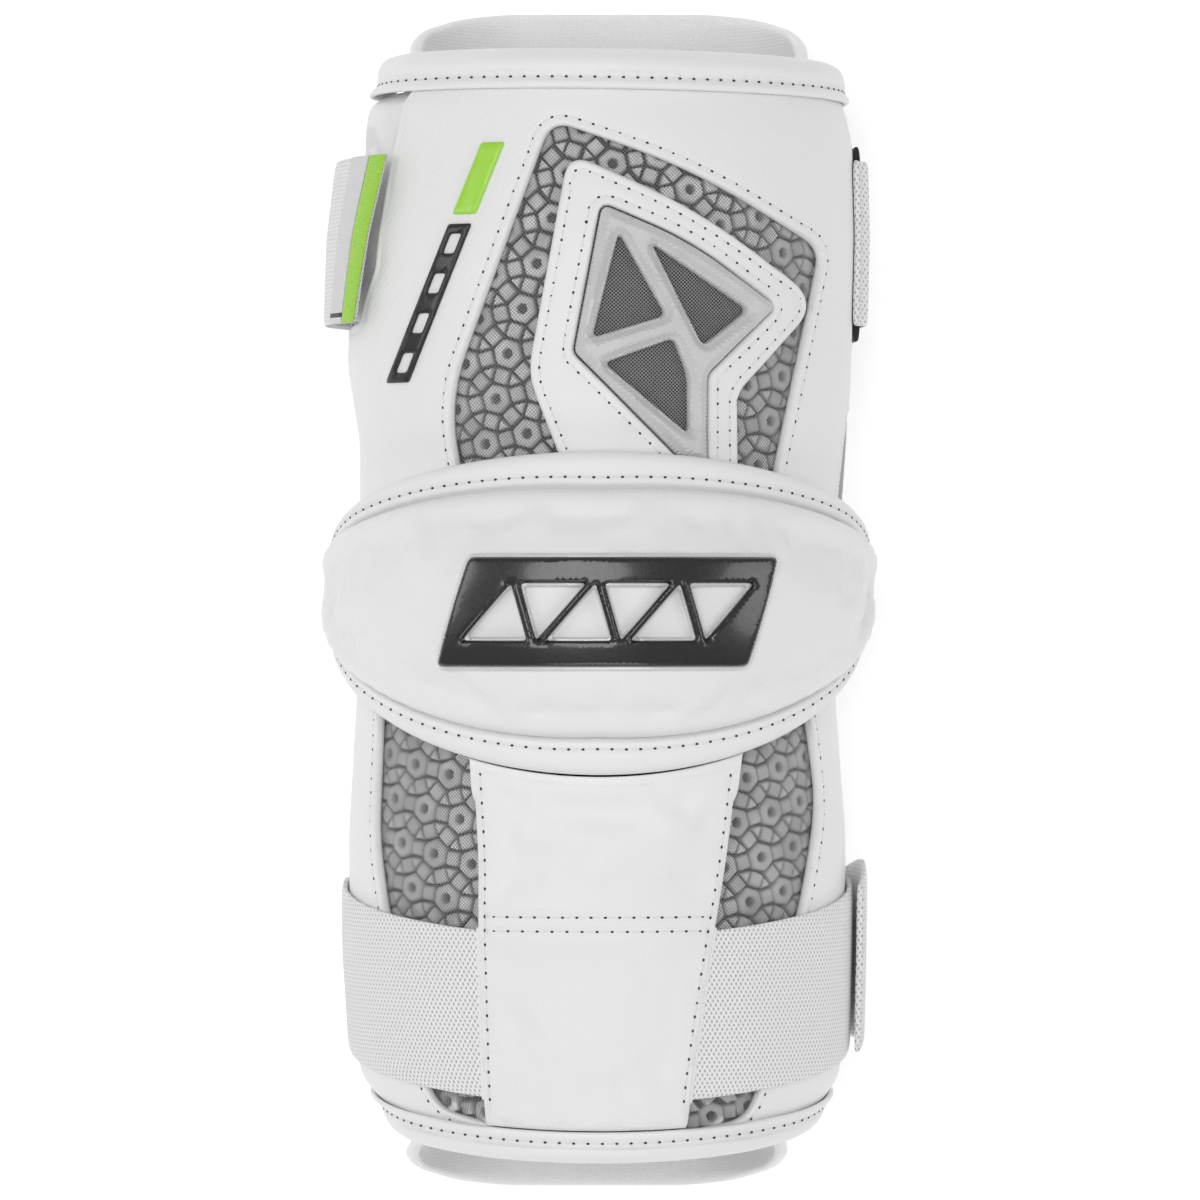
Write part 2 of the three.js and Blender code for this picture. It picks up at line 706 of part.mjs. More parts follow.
// The forearm: side panels outside the windows, and the centre panel that the strap runs through.
function forearmSide(way) {
  const window = way < 0 ? LEFT_WINDOW_EDGE : RIGHT_WINDOW_EDGE;
  const reach = way < 0 ? [-WRAP, -8] : [8, WRAP];
  return forearmLayer(leatherLow, leatherTop, ...reach)
    .subtract(prism(window))
    .subtract(prism(PANEL_OUTLINE, CLEARANCE));
}

// The forearm strap's upper and lower edges, and the height of its inner face.
const STRAP_TOP = -0.5 * HALF_LENGTH + 3.5; // at the sides and round the back
const STRAP_DIP = 13; // how far the strap dips in the middle of the front
const strapTop = (a) => STRAP_TOP - STRAP_DIP * Math.max(0, Math.cos(rad(a)));
const strapBottom = (a) => strapTop(a) - FOREARM_STRAP_WIDTH;
const strapLift = (a) =>
  read(
    [
      [0, 1],
      [WRAP, 1],
      [120, 1],
      [135, 0.25],
      [FLAT, 0],
      [180, 0],
    ],
    Math.abs(a),
  );
const strapLow = (a) => lerp(CLEARANCE, onLeather(Math.min(Math.abs(a), WRAP)), strapLift(a));
const strapHigh = (a) => strapLow(a) + STRAP;

function strapBand(margin) {
  const crossed = STATIONS.filter((y) => y > strapBottom(0) && y < strapTop(0));
  const row = (a) =>
    stationed(strapBottom(a) - margin, strapTop(a) + margin, crossed).map((y) => [a, y]);
  return sheet(
    ANGLES.slice(1).map(row),
    (a) => strapLow(a) - margin,
    (a) => strapHigh(a) + margin,
    true,
  );
}

// It ends at the cap's lower edge and at the bottom collar's flange.
function forearmPanel() {
  const whole = forearmLayer(leatherLow, (a) => leatherLow(a) + PANEL, -50, 50);
  const below = trimmed(whole, (a) => bottomOfCap(a) - SEAT, 1);
  return trimmed(below, (a) => bottomEdge(a) + FLANGE + CLEARANCE, -1)
    .intersect(prism(PANEL_OUTLINE))
    .subtract(strapBand(CLEARANCE));
}

// The strap's end, folded back over itself at the right and standing a little off it.
const END_FROM = 78;
const END_TO = 122;
const END_STAND = 1.8;

function forearmStrapEnd() {
  const stand = (a) => END_STAND * Math.exp(-(((a - 88) / 16) ** 2));
  const low = (a) => strapHigh(a) + CLEARANCE + stand(a);
  const upper = (a) => strapTop(a) + END_MARGIN * Math.exp(-(((a - 92) / 14) ** 2));
  const grid = anglesFrom(END_FROM, END_TO).map((a) =>
    [0, 0.25, 0.5, 0.75, 1].map((share) => [a, lerp(strapBottom(a) + 1, upper(a), share)]),
  );
  return sheet(grid, low, (a) => low(a) + STRAP);
}

// The upper arm's strap runs from its black patch at the right, round the back, to the pull tab.
const UPPER_STRAP_MIDDLE = 0.61 * HALF_LENGTH;
const LOOP_FROM = 86;
const LOOP_TO = 114;
const FOLD_FROM = 79; // where the strap's end is sewn down, in front of the patch
const FOLD_TO = 84;
const loopLow = (a) => onLeather(Math.min(Math.abs(a), WRAP));
const TAB_FROM = -116;
const TAB_TO = -62;
const TAB_SLANT = 9; // degrees that the tab's free edge leans
const TAB_STAND = 1.6;
const strapEdges = (margin) => [
  UPPER_STRAP_MIDDLE - UPPER_STRAP_WIDTH / 2 - margin,
  UPPER_STRAP_MIDDLE + UPPER_STRAP_WIDTH / 2 + margin,
];

function loopPatch() {
  return layer(LOOP_FROM, LOOP_TO, ...strapEdges(PATCH_MARGIN), loopLow, (a) => loopLow(a) + STRAP);
}

// Heights of the strap's inner face from the patch round the back to the wing
const wingTop = SEAT + WING + CLEARANCE;
const CORNER_LIFT = 1.2; // off the sleeve's back corners
const UPPER_LIFT = [
  [-180, CLEARANCE],
  [-FLAT, CLEARANCE],
  [-135, CORNER_LIFT],
  [-120, wingTop],
  [0, wingTop],
];
const onPatch = (a) => loopLow(a) + STRAP + CLEARANCE;
const UPPER_DROP = [
  [LOOP_TO, onPatch(LOOP_TO)],
  [120, onPatch(LOOP_TO)],
  [135, CORNER_LIFT],
  [FLAT, CLEARANCE],
  [180, CLEARANCE],
];
const STRAP_END = -104; // where the strap meets its pull tab

function upperStrap() {
  const low = (a) => {
    if (a < 0) return read(UPPER_LIFT, a);
    if (a <= FOLD_TO) return loopLow(a);
    return a <= LOOP_TO ? onPatch(a) : read(UPPER_DROP, a);
  };
  const front = [...anglesFrom(FOLD_FROM, 180), FOLD_TO, LOOP_FROM].sort((a, b) => a - b);
  const around = [...front, ...anglesFrom(-180, STRAP_END).slice(1)];
  const rows = within(STATIONS, ...strapEdges(0));
  const grid = around.map((a) => rows.map((y) => [a, y]));
  return sheet(grid, low, (a) => low(a) + STRAP);
}

// The pull tab lies on the strap's end and stands off the wing, with a label and a stripe on it.
const TAB_RISE = [
  [TAB_FROM, 0],
  [-105, 0],
  [-90, TAB_STAND],
  [TAB_TO, 0.8 * TAB_STAND],
];
const tabLow = (a) => wingTop + STRAP + SEAT + read(TAB_RISE, a);
const tabEdge = (y) => TAB_TO + (TAB_SLANT * (y - UPPER_STRAP_MIDDLE)) / UPPER_STRAP_WIDTH;
const LABEL_SHARE = 0.73; // where the label starts, from the back to the tab's free edge
const STRIPE_SHARE = 0.9;

function tabPiece(from, to, low, thickness) {
  const rows = within(STATIONS, ...strapEdges(0));
  const grid = [0, 0.2, 0.4, 0.6, 0.8, 1].map((step) =>
    rows.map((y) => [lerp(TAB_FROM, tabEdge(y), lerp(from, to, step)), y]),
  );
  return sheet(grid, low, (a) => low(a) + thickness);
}

const pullTab = () => tabPiece(0, 1, tabLow, STRAP);
const onTab = (a) => tabLow(a) + STRAP + CLEARANCE;
const tabLabel = () => tabPiece(LABEL_SHARE, STRIPE_SHARE - 0.01, onTab, LABEL);
const tabStripe = () => tabPiece(STRIPE_SHARE, 1, onTab, LABEL);

// Colours of the real materials, with their roughness
const WHITE_LEATHER = ["#eeeeec", 0.55];
const KNIT = ["#e6e6e6", 0.9];
const CELL_FOAM = ["#a9a9a9", 0.6];
const TRUSS_PLASTIC = ["#c4c4c4", 0.5];
const BLACK_GLOSS = ["#121212", 0.25];
const SILVER = ["#c9c9c9", 0.35];
const GREEN = ["#a4dc3c", 0.6];
const WEBBING = ["#ededed", 0.8];
const BLACK_TAPE = ["#1b1b1b", 0.85];

const group = new THREE.Group();

function add(name, piece, [color, roughness]) {
  const mesh = piece.getMesh();
  const geometry = new THREE.BufferGeometry();
  geometry.setAttribute("position", new THREE.Float32BufferAttribute(mesh.vertProperties, 3));
  geometry.setIndex(new THREE.Uint32BufferAttribute(mesh.triVerts, 1));
  geometry.computeVertexNormals();
  const material = new THREE.MeshStandardMaterial({ color, roughness, metalness: 0 });
  const made = new THREE.Mesh(geometry, material);
  made.name = name;
  group.add(made);
}

add("liner_sleeve", linerSleeve(), KNIT);
add("top_collar", collar(topEdge, 1, TOP_ROLL), WHITE_LEATHER);
add("bottom_collar", collar(bottomEdge, -1, BOTTOM_ROLL), WHITE_LEATHER);
add("upper_foam", upperLayer(onLiner, foamTop), CELL_FOAM);
add("upper_shell", upperShell(), WHITE_LEATHER);
add("window_patch", windowPatch(), WHITE_LEATHER);
add("truss_insert", trussInsert(), TRUSS_PLASTIC);
add("mark_bars", markBars(), BLACK_GLOSS);
add("mark_tip", mark(TIP_START, 1), GREEN);
add("side_wing", sideWing(), WHITE_LEATHER);
add("cap_base", capBase(), WHITE_LEATHER);
add("cap_dome", capDome(), WHITE_LEATHER);
add("badge_outline", badgeOutline(), SILVER);
add("cap_badge", capBadge(), BLACK_GLOSS);
add("forearm_foam", forearmLayer(onLiner, foamTop), CELL_FOAM);
add("forearm_side_left", forearmSide(-1), WHITE_LEATHER);
add("forearm_side_right", forearmSide(1), WHITE_LEATHER);
add("forearm_panel", forearmPanel(), WHITE_LEATHER);
add("forearm_strap", strapBand(0), WEBBING);
add("forearm_strap_end", forearmStrapEnd(), WEBBING);
add("loop_patch", loopPatch(), BLACK_TAPE);
add("upper_strap", upperStrap(), WEBBING);
add("pull_tab", pullTab(), WEBBING);
add("tab_label", tabLabel(), WHITE_LEATHER);
add("tab_stripe", tabStripe(), GREEN);

export default group;
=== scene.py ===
import math

import bpy
import numpy as np
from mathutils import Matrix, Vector
from mathutils.geometry import delaunay_2d_cdt
from mathutils.kdtree import KDTree


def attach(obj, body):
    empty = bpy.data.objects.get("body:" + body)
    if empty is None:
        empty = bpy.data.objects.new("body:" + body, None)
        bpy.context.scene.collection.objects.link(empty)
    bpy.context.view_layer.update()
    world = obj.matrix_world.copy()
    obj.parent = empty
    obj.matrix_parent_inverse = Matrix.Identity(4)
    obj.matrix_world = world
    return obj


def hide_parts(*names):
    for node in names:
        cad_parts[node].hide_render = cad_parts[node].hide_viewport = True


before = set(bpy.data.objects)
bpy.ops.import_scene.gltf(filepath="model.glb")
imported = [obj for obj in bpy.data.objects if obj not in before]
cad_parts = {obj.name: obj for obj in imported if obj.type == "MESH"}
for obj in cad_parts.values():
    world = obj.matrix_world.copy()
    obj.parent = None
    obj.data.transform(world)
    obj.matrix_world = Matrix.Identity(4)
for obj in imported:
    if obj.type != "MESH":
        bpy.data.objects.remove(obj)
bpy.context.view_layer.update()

# The sleeve. A soft white knit tube that the arm goes through, sewn flat and open at both
# ends. Every other piece is sewn to it in layers, so the form of the arm is worked out here.
# Lengths in this file are millimetres until a mesh is made.
MM = 0.001
HALF_LENGTH = 156.0
HALF_WIDTH = 60.0
DEPTH = 86.0
WIDEST_HEIGHT = 38.0
BACK_CORNER = 27.0
FLAT = 150.0
BACK = 2.1
LINER = 3.5
CLEARANCE = 0.3
SEAT = 0.6

# Sections: place along the arm, then half widths and front height as shares of the sizes above
SECTIONS = np.array([
    # along, left, right, height
    (-1.0, 0.81, 0.77, 0.84),
    (-0.965, 0.87, 0.83, 0.848),
    (-0.94, 0.87, 0.845, 0.853),
    (-0.915, 0.805, 0.81, 0.86),
    (-0.88, 0.805, 0.84, 0.875),
    (-0.82, 0.95, 0.955, 0.9),
    (-0.78, 0.98, 0.975, 0.91),
    (-0.6, 1.01, 0.985, 0.945),
    (-0.4, 1.015, 0.99, 0.975),
    (-0.17, 0.98, 0.945, 1.0),
    (0.05, 0.965, 0.96, 1.02),
    (0.27, 0.965, 1.0, 1.025),
    (0.4, 1.02, 1.015, 1.02),
    (0.62, 1.0, 1.03, 1.0),
    (0.78, 0.95, 1.02, 0.955),
    (0.84, 0.945, 0.985, 0.935),
    (0.88, 0.85, 0.945, 0.92),
    (0.92, 0.835, 0.93, 0.91),
    (0.95, 0.855, 0.925, 0.9),
    (1.0, 0.81, 0.875, 0.88),
])
SOFTENING = 1.6  # millimetres over which the form turns from one section to the next
SPREAD = 60  # steps of FINE on each side that the softening takes in
FINE = np.linspace(-1.1, 1.1, 1200) * HALF_LENGTH


def softened(column):
    values = np.interp(FINE / HALF_LENGTH, SECTIONS[:, 0], SECTIONS[:, column])
    reach = np.arange(-SPREAD, SPREAD + 1) * (FINE[1] - FINE[0])
    weight = np.exp(-((reach / SOFTENING) ** 2) / 2)
    padded = np.pad(values, SPREAD, mode="edge")
    return np.convolve(padded, weight / weight.sum(), mode="valid")


LEFT, RIGHT, HEIGHT = softened(1), softened(2), softened(3)


def on_arm(angle, y, height):
    """Points at angles round the arm, places along it and heights above the sleeve."""
    angle, y, height = np.broadcast_arrays(
        np.asarray(angle, float), np.asarray(y, float), np.asarray(height, float)
    )
    angle = (angle + 180) % 360 - 180
    turn = np.abs(angle)
    side = np.where(angle < 0, -1.0, 1.0)
    share = np.where(angle < 0, np.interp(y, FINE, LEFT), np.interp(y, FINE, RIGHT))
    half = HALF_WIDTH * share
    top = DEPTH * np.interp(y, FINE, HEIGHT) - WIDEST_HEIGHT
    front = np.radians(np.minimum(turn, 90))
    bend = np.radians((np.clip(turn, 90, FLAT) - 90) * 90 / (FLAT - 90))
    x = half * np.sin(front)
    z = WIDEST_HEIGHT + top * np.cos(front)
    nx, nz = np.sin(front) * top, np.cos(front) * half
    behind = turn > 90
    x = np.where(behind, half - BACK_CORNER * (1 - np.cos(bend)), x)
    z = np.where(behind, WIDEST_HEIGHT * (1 - np.sin(bend)), z)
    nx = np.where(behind, np.cos(bend) * WIDEST_HEIGHT, nx)
    nz = np.where(behind, -np.sin(bend) * BACK_CORNER, nz)
    x = np.where(turn > FLAT, (half - BACK_CORNER) * (180 - turn) / (180 - FLAT), x)
    size = np.hypot(nx, nz)
    return np.stack([side * (x + height * nx / size), y, BACK + z + height * nz / size], -1)


def out_of_arm(angle, y):
    ahead = on_arm(angle, y, 1.0) - on_arm(angle, y, 0.0)
    return ahead / np.linalg.norm(ahead, axis=-1, keepdims=True)


AROUND = 1.12  # millimetres round the arm for a degree, on the flat map of the cloth
UNDER_SHIFT = 1.6  # of the under side's map, so that a cut end carries the pattern across it


def on_map(angle, y):
    """Points on the flat map of the cloth."""
    return np.stack(np.broadcast_arrays(angle * AROUND, y), -1)


def placed(name, data):
    made = bpy.data.objects.new(name, data)
    bpy.context.scene.collection.objects.link(made)
    return made


def piece_of(name, points, faces, flat=None, ring=False):
    """A mesh object from points in millimetres, with a flat map of the cloth as its UV."""
    mesh = bpy.data.meshes.new(name)
    mesh.from_pydata((np.asarray(points) * MM).tolist(), [], [list(f) for f in faces])
    mesh.polygons.foreach_set("use_smooth", [True] * len(mesh.polygons))
    if flat is not None:
        corners = np.empty(len(mesh.loops), int)
        mesh.loops.foreach_get("vertex_index", corners)
        places = np.asarray(flat)[corners]
        if ring:  # the faces that close the ring go on past its last angle
            u = places[:, 0].reshape(-1, 4)
            u += (u.max(1, keepdims=True) - u > 180 * AROUND) * 360 * AROUND
        layer = mesh.uv_layers.new(name="flat")
        layer.data.foreach_set("uv", (places * MM).ravel())
    mesh.update()
    return placed(name, mesh)


def sheet_of(name, angles, ys, low, high, ring=False):
    """A closed sheet over a grid of angles and places, between two heights above the sleeve."""
    rows, count = angles.shape
    points = np.concatenate([
        on_arm(angles, ys, low).reshape(-1, 3),
        on_arm(angles, ys, high).reshape(-1, 3),
    ])
    flat = on_map(angles, ys).reshape(-1, 2)
    under = np.arange(rows * count).reshape(rows, count)
    over = under + rows * count
    ahead = np.roll(under, -1, 0) if ring else under[1:]
    ahead_over = np.roll(over, -1, 0) if ring else over[1:]
    here, here_over = (under, over) if ring else (under[:-1], over[:-1])
    faces = []

    def quads(a, b, c, d):
        faces.extend(np.stack([a.ravel(), b.ravel(), c.ravel(), d.ravel()], -1).tolist())

    quads(here_over[:, :-1], ahead_over[:, :-1], ahead_over[:, 1:], here_over[:, 1:])
    quads(here[:, :-1], here[:, 1:], ahead[:, 1:], ahead[:, :-1])
    quads(here[:, 0], ahead[:, 0], ahead_over[:, 0], here_over[:, 0])
    quads(ahead[:, -1], here[:, -1], here_over[:, -1], ahead_over[:, -1])
    if not ring:
        quads(under[0, 1:], under[0, :-1], over[0, :-1], over[0, 1:])
        quads(under[-1, :-1], under[-1, 1:], over[-1, 1:], over[-1, :-1])
    return piece_of(name, points, faces, np.concatenate([flat + [UNDER_SHIFT, 0], flat]), ring)


class Shade:
    """A socket of a node tree, so that shader maths is written as plain expressions."""

    def __init__(self, tree, socket):
        self.tree, self.socket = tree, socket

    def node(self, kind, settings, inputs, output=0):
        """Adds a node, its settings first and then the values or links of its inputs."""
        node = self.tree.nodes.new(kind)
        for key, value in settings.items():
            setattr(node, key, value)
        for key, value in inputs.items():
            if isinstance(value, Shade):
                self.tree.links.new(value.socket, node.inputs[key])
            else:
                node.inputs[key].default_value = value
        return Shade(self.tree, node.outputs[output])

    def maths(self, operation, *others):
        values = dict(enumerate((self, *others)))
        return self.node("ShaderNodeMath", {"operation": operation}, values)

    def __add__(self, other):
        return self.maths("ADD", other)

    def __sub__(self, other):
        return self.maths("SUBTRACT", other)

    def __mul__(self, other):
        return self.maths("MULTIPLY", other)

    __radd__ = __add__
    __rmul__ = __mul__

    def __rsub__(self, other):
        return self * -1.0 + other

    def __gt__(self, other):
        return self.maths("GREATER_THAN", other)

    def clipped(self):
        return self.node("ShaderNodeClamp", {}, {0: self})

    def mixed(self, low, high):
        """The colour between two colours at this value."""
        return self.node(
            "ShaderNodeMix", {"data_type": "RGBA"}, {0: self, 6: low, 7: high}, output=2
        )


def grey(value, tint=(1.0, 1.0, 1.0)):
    return (value * tint[0], value * tint[1], value * tint[2], 1.0)


def finish_of(name, roughness, **constant):
    """A new material with its principled shader, its start for maths, and its object places."""
    material = bpy.data.materials.new(name)
    material.use_nodes = True
    tree = material.node_tree
    shader = tree.nodes["Principled BSDF"]
    shader.inputs["Roughness"].default_value = roughness
    for key, value in constant.items():
        shader.inputs[key.replace("_", " ")].default_value = value
    start = Shade(tree, None)
    place = start.node("ShaderNodeTexCoord", {}, {}, output=3)
    return material, shader, start, place


def paint(shader, **shades):
    for key, shade in shades.items():
        shade.tree.links.new(shade.socket, shader.inputs[key.replace("_", " ")])


def noise(place, size, detail=3.0, roughness=0.5):
    """Cloudy values of a size in millimetres."""
    return place.node(
        "ShaderNodeTexNoise",
        {},
        {"Vector": place, "Scale": 1 / (size * MM), "Detail": detail, "Roughness": roughness},
    )


def bump(height, depth, normal=None):
    """A bump of a depth in millimetres."""
    inputs = {"Height": height, "Distance": depth * MM, "Strength": 1.0}
    if normal:
        inputs["Normal"] = normal
    return height.node("ShaderNodeBump", {}, inputs)


def flat_places(start):
    """The two flat coordinates of the cloth, in metres."""
    uv = start.node("ShaderNodeUVMap", {"uv_map": "flat"}, {})
    u = uv.node("ShaderNodeSeparateXYZ", {}, {0: uv})
    return u, Shade(u.tree, u.socket.node.outputs[1])


def wave(value, pitch):
    """A wave from 0 to 1 with a pitch in millimetres along a coordinate in metres."""
    return (value * (2 * math.pi / (pitch * MM))).maths("SINE") * 0.5 + 0.5


def knit_finish():
    material, shader, start, place = finish_of(
        "soft_knit", 0.85, Sheen_Weight=0.25, Sheen_Roughness=0.5
    )
    u, v = flat_places(start)
    loops = wave(u, 1.3) * wave(v + wave(u, 2.6) * 0.0003, 0.9)
    clouds = noise(place, 18)
    tone = (loops * 0.5 + clouds * 0.5).mixed(grey(0.9), grey(0.97))
    paint(shader, Base_Color=tone, Normal=bump(loops, 0.12, bump(clouds, 0.5)))
    return material


END_SLANT = 12.5
SLANT_FROM, SLANT_TO = 72.0, 104.0
BACK_REACH, CORNER_DROP = 4.0, 2.5  # how far the back wall stands out, and its corners fall away
CORNER, CORNER_WIDTH = 98, 16
ROUND = 144
RIM = 0.01  # the rolled rim, as a share of the half length
RIPPLE = 0.35


def smoothstep(value, low, high):
    share = np.clip((value - low) / (high - low), 0, 1)
    return share * share * (3 - 2 * share)


def hump(value, centre, width):
    """A bell curve that is 1 at its centre."""
    return np.exp(-(((value - centre) / width) ** 2))


def eased(count):
    """Shares from 0 to 1 that lie closer together towards both ends."""
    return 0.5 - 0.5 * np.cos(np.linspace(0, math.pi, count))


def hand_over(piece, finish, slot, *nodes):
    """Gives a finished piece its material and hangs it in the place of its nodes."""
    if finish:
        piece.data.materials.append(finish)
    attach(piece, "root")
    if nodes:
        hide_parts(*nodes)


def make_sleeve():
    """The tube. Its rims are rolled and its wall ripples a little inside, as a lining does."""
    angles = np.linspace(-180, 180, ROUND + 1)[:-1]
    turn = np.abs(angles)
    ends = HALF_LENGTH - END_SLANT * (1 - smoothstep(turn, SLANT_FROM, SLANT_TO))
    ends += BACK_REACH * smoothstep(turn, 95, 150) - CORNER_DROP * hump(turn, CORNER, CORNER_WIDTH)
    rims = np.array([1, 0.999, 0.996, 0.99])
    shares = np.concatenate([-rims, np.linspace(-0.98, 0.98, 90), rims[::-1]])
    ys = ends[:, None] * shares[None, :]
    turned = angles[:, None] + 0 * ys
    around = np.radians(turned)
    rim = np.sqrt(1 - np.clip((np.abs(shares) - 1 + RIM) / RIM, 0, 1) ** 2)[None, :]
    ripple = RIPPLE * np.sin(ys / 9 + around * 3) * np.sin(around * 5 + ys / 31)
    half = LINER / 2
    high = -half + half * np.maximum(rim, 0.25) + 0 * ys
    low = -half - half * np.maximum(rim, 0.25) + ripple * (np.abs(shares) < 0.97)
    return sheet_of("sleeve", turned, ys, low, high, ring=True)


knit = knit_finish()
sleeve = make_sleeve()
hand_over(sleeve, knit, "knit", "liner_sleeve")

# The leather. White synthetic leather with a fine even grain, cut to shape, its raw edges
# turned under, and sewn down with white thread a few millimetres in from each edge.
FOAM = 6.3
LEATHER = 2.5
WRAP = 112.0


def foam_top(angle):
    return FOAM * np.interp(np.abs(angle), [0, 60, 90, WRAP, 180], [1, 1, 0.5, 0.3, 0.3])


def leather_low(angle):
    return foam_top(angle) + CLEARANCE


def leather_top(angle):
    return leather_low(angle) + LEATHER


def on_leather(angle):
    return leather_top(angle) + CLEARANCE


LEATHER_WHITE = 0.86


def leather_finish(name, grain=1.0, weave=False):
    material, shader, start, place = finish_of(
        name, 0.5, Specular_IOR_Level=0.42, Sheen_Weight=0.08, Sheen_Roughness=0.4
    )
    cells = place.node(
        "ShaderNodeTexVoronoi",
        {"feature": "DISTANCE_TO_EDGE"},
        {"Vector": place, "Scale": 1 / (0.7 * MM), "Randomness": 1.0},
    )
    pores = (cells * 6).clipped()
    soft = noise(place, 2.5, 4)
    clouds = noise(place, 40, 2)
    height = pores * 0.5 + soft * 0.5
    if weave:
        u, v = flat_places(start)
        lines = wave(u + v, 0.8) * wave(u - v, 2.4)
        height = height * 0.4 + lines * 0.6
    tone = (clouds * 0.6 + pores * 0.4).clipped()
    paint(
        shader,
        Base_Color=tone.mixed(grey(LEATHER_WHITE * 0.965), grey(LEATHER_WHITE)),
        Roughness=0.42 + soft * 0.2,
        Normal=bump(height, 0.035 * grain, bump(clouds, 0.5)),
    )
    return material


def resampled(points, step, closed=True):
    """The same line with its points spaced evenly."""
    points = np.asarray(points, float)
    if closed:
        points = np.concatenate([points, points[:1]])
    lengths = np.concatenate([[0], np.cumsum(np.linalg.norm(np.diff(points, axis=0), axis=1))])
    count = max(3, int(round(lengths[-1] / step)))
    places = np.linspace(0, lengths[-1], count + 1)
    if closed:
        places = places[:-1]
    return np.stack([np.interp(places, lengths, points[:, k]) for k in range(points.shape[1])], -1)


def rounded(table):
    """An outline from corners in shares of the half width and half length, in millimetres."""
    corners = [(np.array([a * HALF_WIDTH, b * HALF_LENGTH]), r) for a, b, r in table]
    points = []
    for i, (at, radius) in enumerate(corners):
        before, after = corners[i - 1][0], corners[(i + 1) % len(corners)][0]
        back, on = np.linalg.norm(before - at), np.linalg.norm(after - at)
        reach = min(radius, back / 2.2, on / 2.2)
        start, end = at + (before - at) * reach / back, at + (after - at) * reach / on
        for share in np.linspace(0, 1, 9 if radius else 1):
            points.append(start * (1 - share) ** 2 + at * 2 * share * (1 - share) + end * share**2)
    return np.array(points)


HALVINGS = 34


def seen_angle(x, y, height):
    """The angle round the arm at which a point seen from the front lies."""
    low, high = np.full(len(x), -89.9), np.full(len(x), 89.9)
    for _ in range(HALVINGS):
        middle = (low + high) / 2
        right = on_arm(middle, y, height(middle))[:, 0] < x
        low, high = np.where(right, middle, low), np.where(right, high, middle)
    return (low + high) / 2


def laid(table, height=leather_top, step=1.0, closed=True):
    """An outline seen from the front, laid on the flat map of the cloth."""
    points = resampled(rounded(table), step, closed)
    return on_map(seen_angle(points[:, 0], points[:, 1], height), points[:, 1])


def signed_area(loop):
    x, y = loop[:, 0], loop[:, 1]
    return 0.5 * np.sum(x * np.roll(y, -1) - np.roll(x, -1) * y)


def inset(loop, distance, inward=1):
    """The same loop moved in by a distance, or out where inward is -1."""
    loop = loop if signed_area(loop) > 0 else loop[::-1]
    ahead = np.roll(loop, -1, 0) - np.roll(loop, 1, 0)
    ahead /= np.maximum(np.linalg.norm(ahead, axis=1, keepdims=True), 1e-9)
    return loop + np.stack([-ahead[:, 1], ahead[:, 0]], -1) * distance * inward


def inside(points, loops):
    """Whether each point lies in the loops, a point in a hole being outside."""
    crossings = np.zeros(len(points), int)
    for loop in loops:
        a, b = loop, np.roll(loop, -1, 0)
        for start in range(0, len(points), 4000):
            p = points[start : start + 4000, None]
            spans = (a[None, :, 1] > p[..., 1]) != (b[None, :, 1] > p[..., 1])
            slope = (b[:, 0] - a[:, 0]) / np.where(b[:, 1] == a[:, 1], 1e-9, b[:, 1] - a[:, 1])
            x = a[None, :, 0] + (p[..., 1] - a[None, :, 1]) * slope[None]
            crossings[start : start + 4000] += (spans & (p[..., 0] < x)).sum(1)
    return crossings % 2 == 1


def edge_distance(points, loops):
    """How far each point lies from the nearest loop."""
    nearest = np.full(len(points), 1e9)
    for loop in loops:
        a, b = loop, np.roll(loop, -1, 0)
        side = b - a
        long = np.maximum((side**2).sum(1), 1e-12)
        for start in range(0, len(points), 2000):
            p = points[start : start + 2000, None]
            share = np.clip(((p - a[None]) * side[None]).sum(-1) / long[None], 0, 1)
            gap = np.linalg.norm(p - (a[None] + share[..., None] * side[None]), axis=-1)
            part = nearest[start : start + 2000]
            nearest[start : start + 2000] = np.minimum(part, gap.min(1))
    return nearest


EDGE_RINGS = (0.15, 0.4, 0.75, 1.3, 1.9, 2.5, 3.1)
LOOP_STEP = 1.2
STAGGER = 0.87  # from one row of points to the next, as a share of their spacing
ROW_CLEAR, ROW_STEP = 0.4, 1.0


def grid_over(loop, spacing, rows):
    """Staggered points over the box of a loop, and lines of points along its rows."""
    (left, bottom), (right, top) = loop.min(0), loop.max(0)
    us, vs = np.meshgrid(
        np.arange(left, right, spacing), np.arange(bottom, top, spacing * STAGGER)
    )
    us = us + (np.arange(us.shape[0]) % 2)[:, None] * spacing / 2
    grid = np.stack([us.ravel(), vs.ravel()], -1)
    if not rows:
        return grid, []
    across = np.arange(left, right, ROW_STEP)
    lines = [np.stack([across, np.full(len(across), row)], -1) for row in rows]
    return grid[np.abs(grid[:, 1:] - np.array(rows)).min(1) > ROW_CLEAR], lines


def filled(loops, points):
    """The points used and the triangles, facing up, that fill loops through points."""
    edges, start = [], 0
    for loop in loops:
        edges += [(start + i, start + (i + 1) % len(loop)) for i in range(len(loop))]
        start += len(loop)
    every = [Vector(p) for p in np.concatenate([*loops, *points])]
    co, _, faces, *_ = delaunay_2d_cdt(every, edges, [], 0, 1e-6)
    co, faces = np.array([tuple(p) for p in co]), np.array([tuple(f) for f in faces])
    faces = faces[inside(co[faces].mean(1), loops)]
    a, b, c = co[faces[:, 0]], co[faces[:, 1]], co[faces[:, 2]]
    turned = np.cross(b - a, c - a) < 0
    faces[turned] = faces[turned][:, ::-1]
    used, faces = np.unique(faces, return_inverse=True)
    return co[used], faces.reshape(-1, 3)


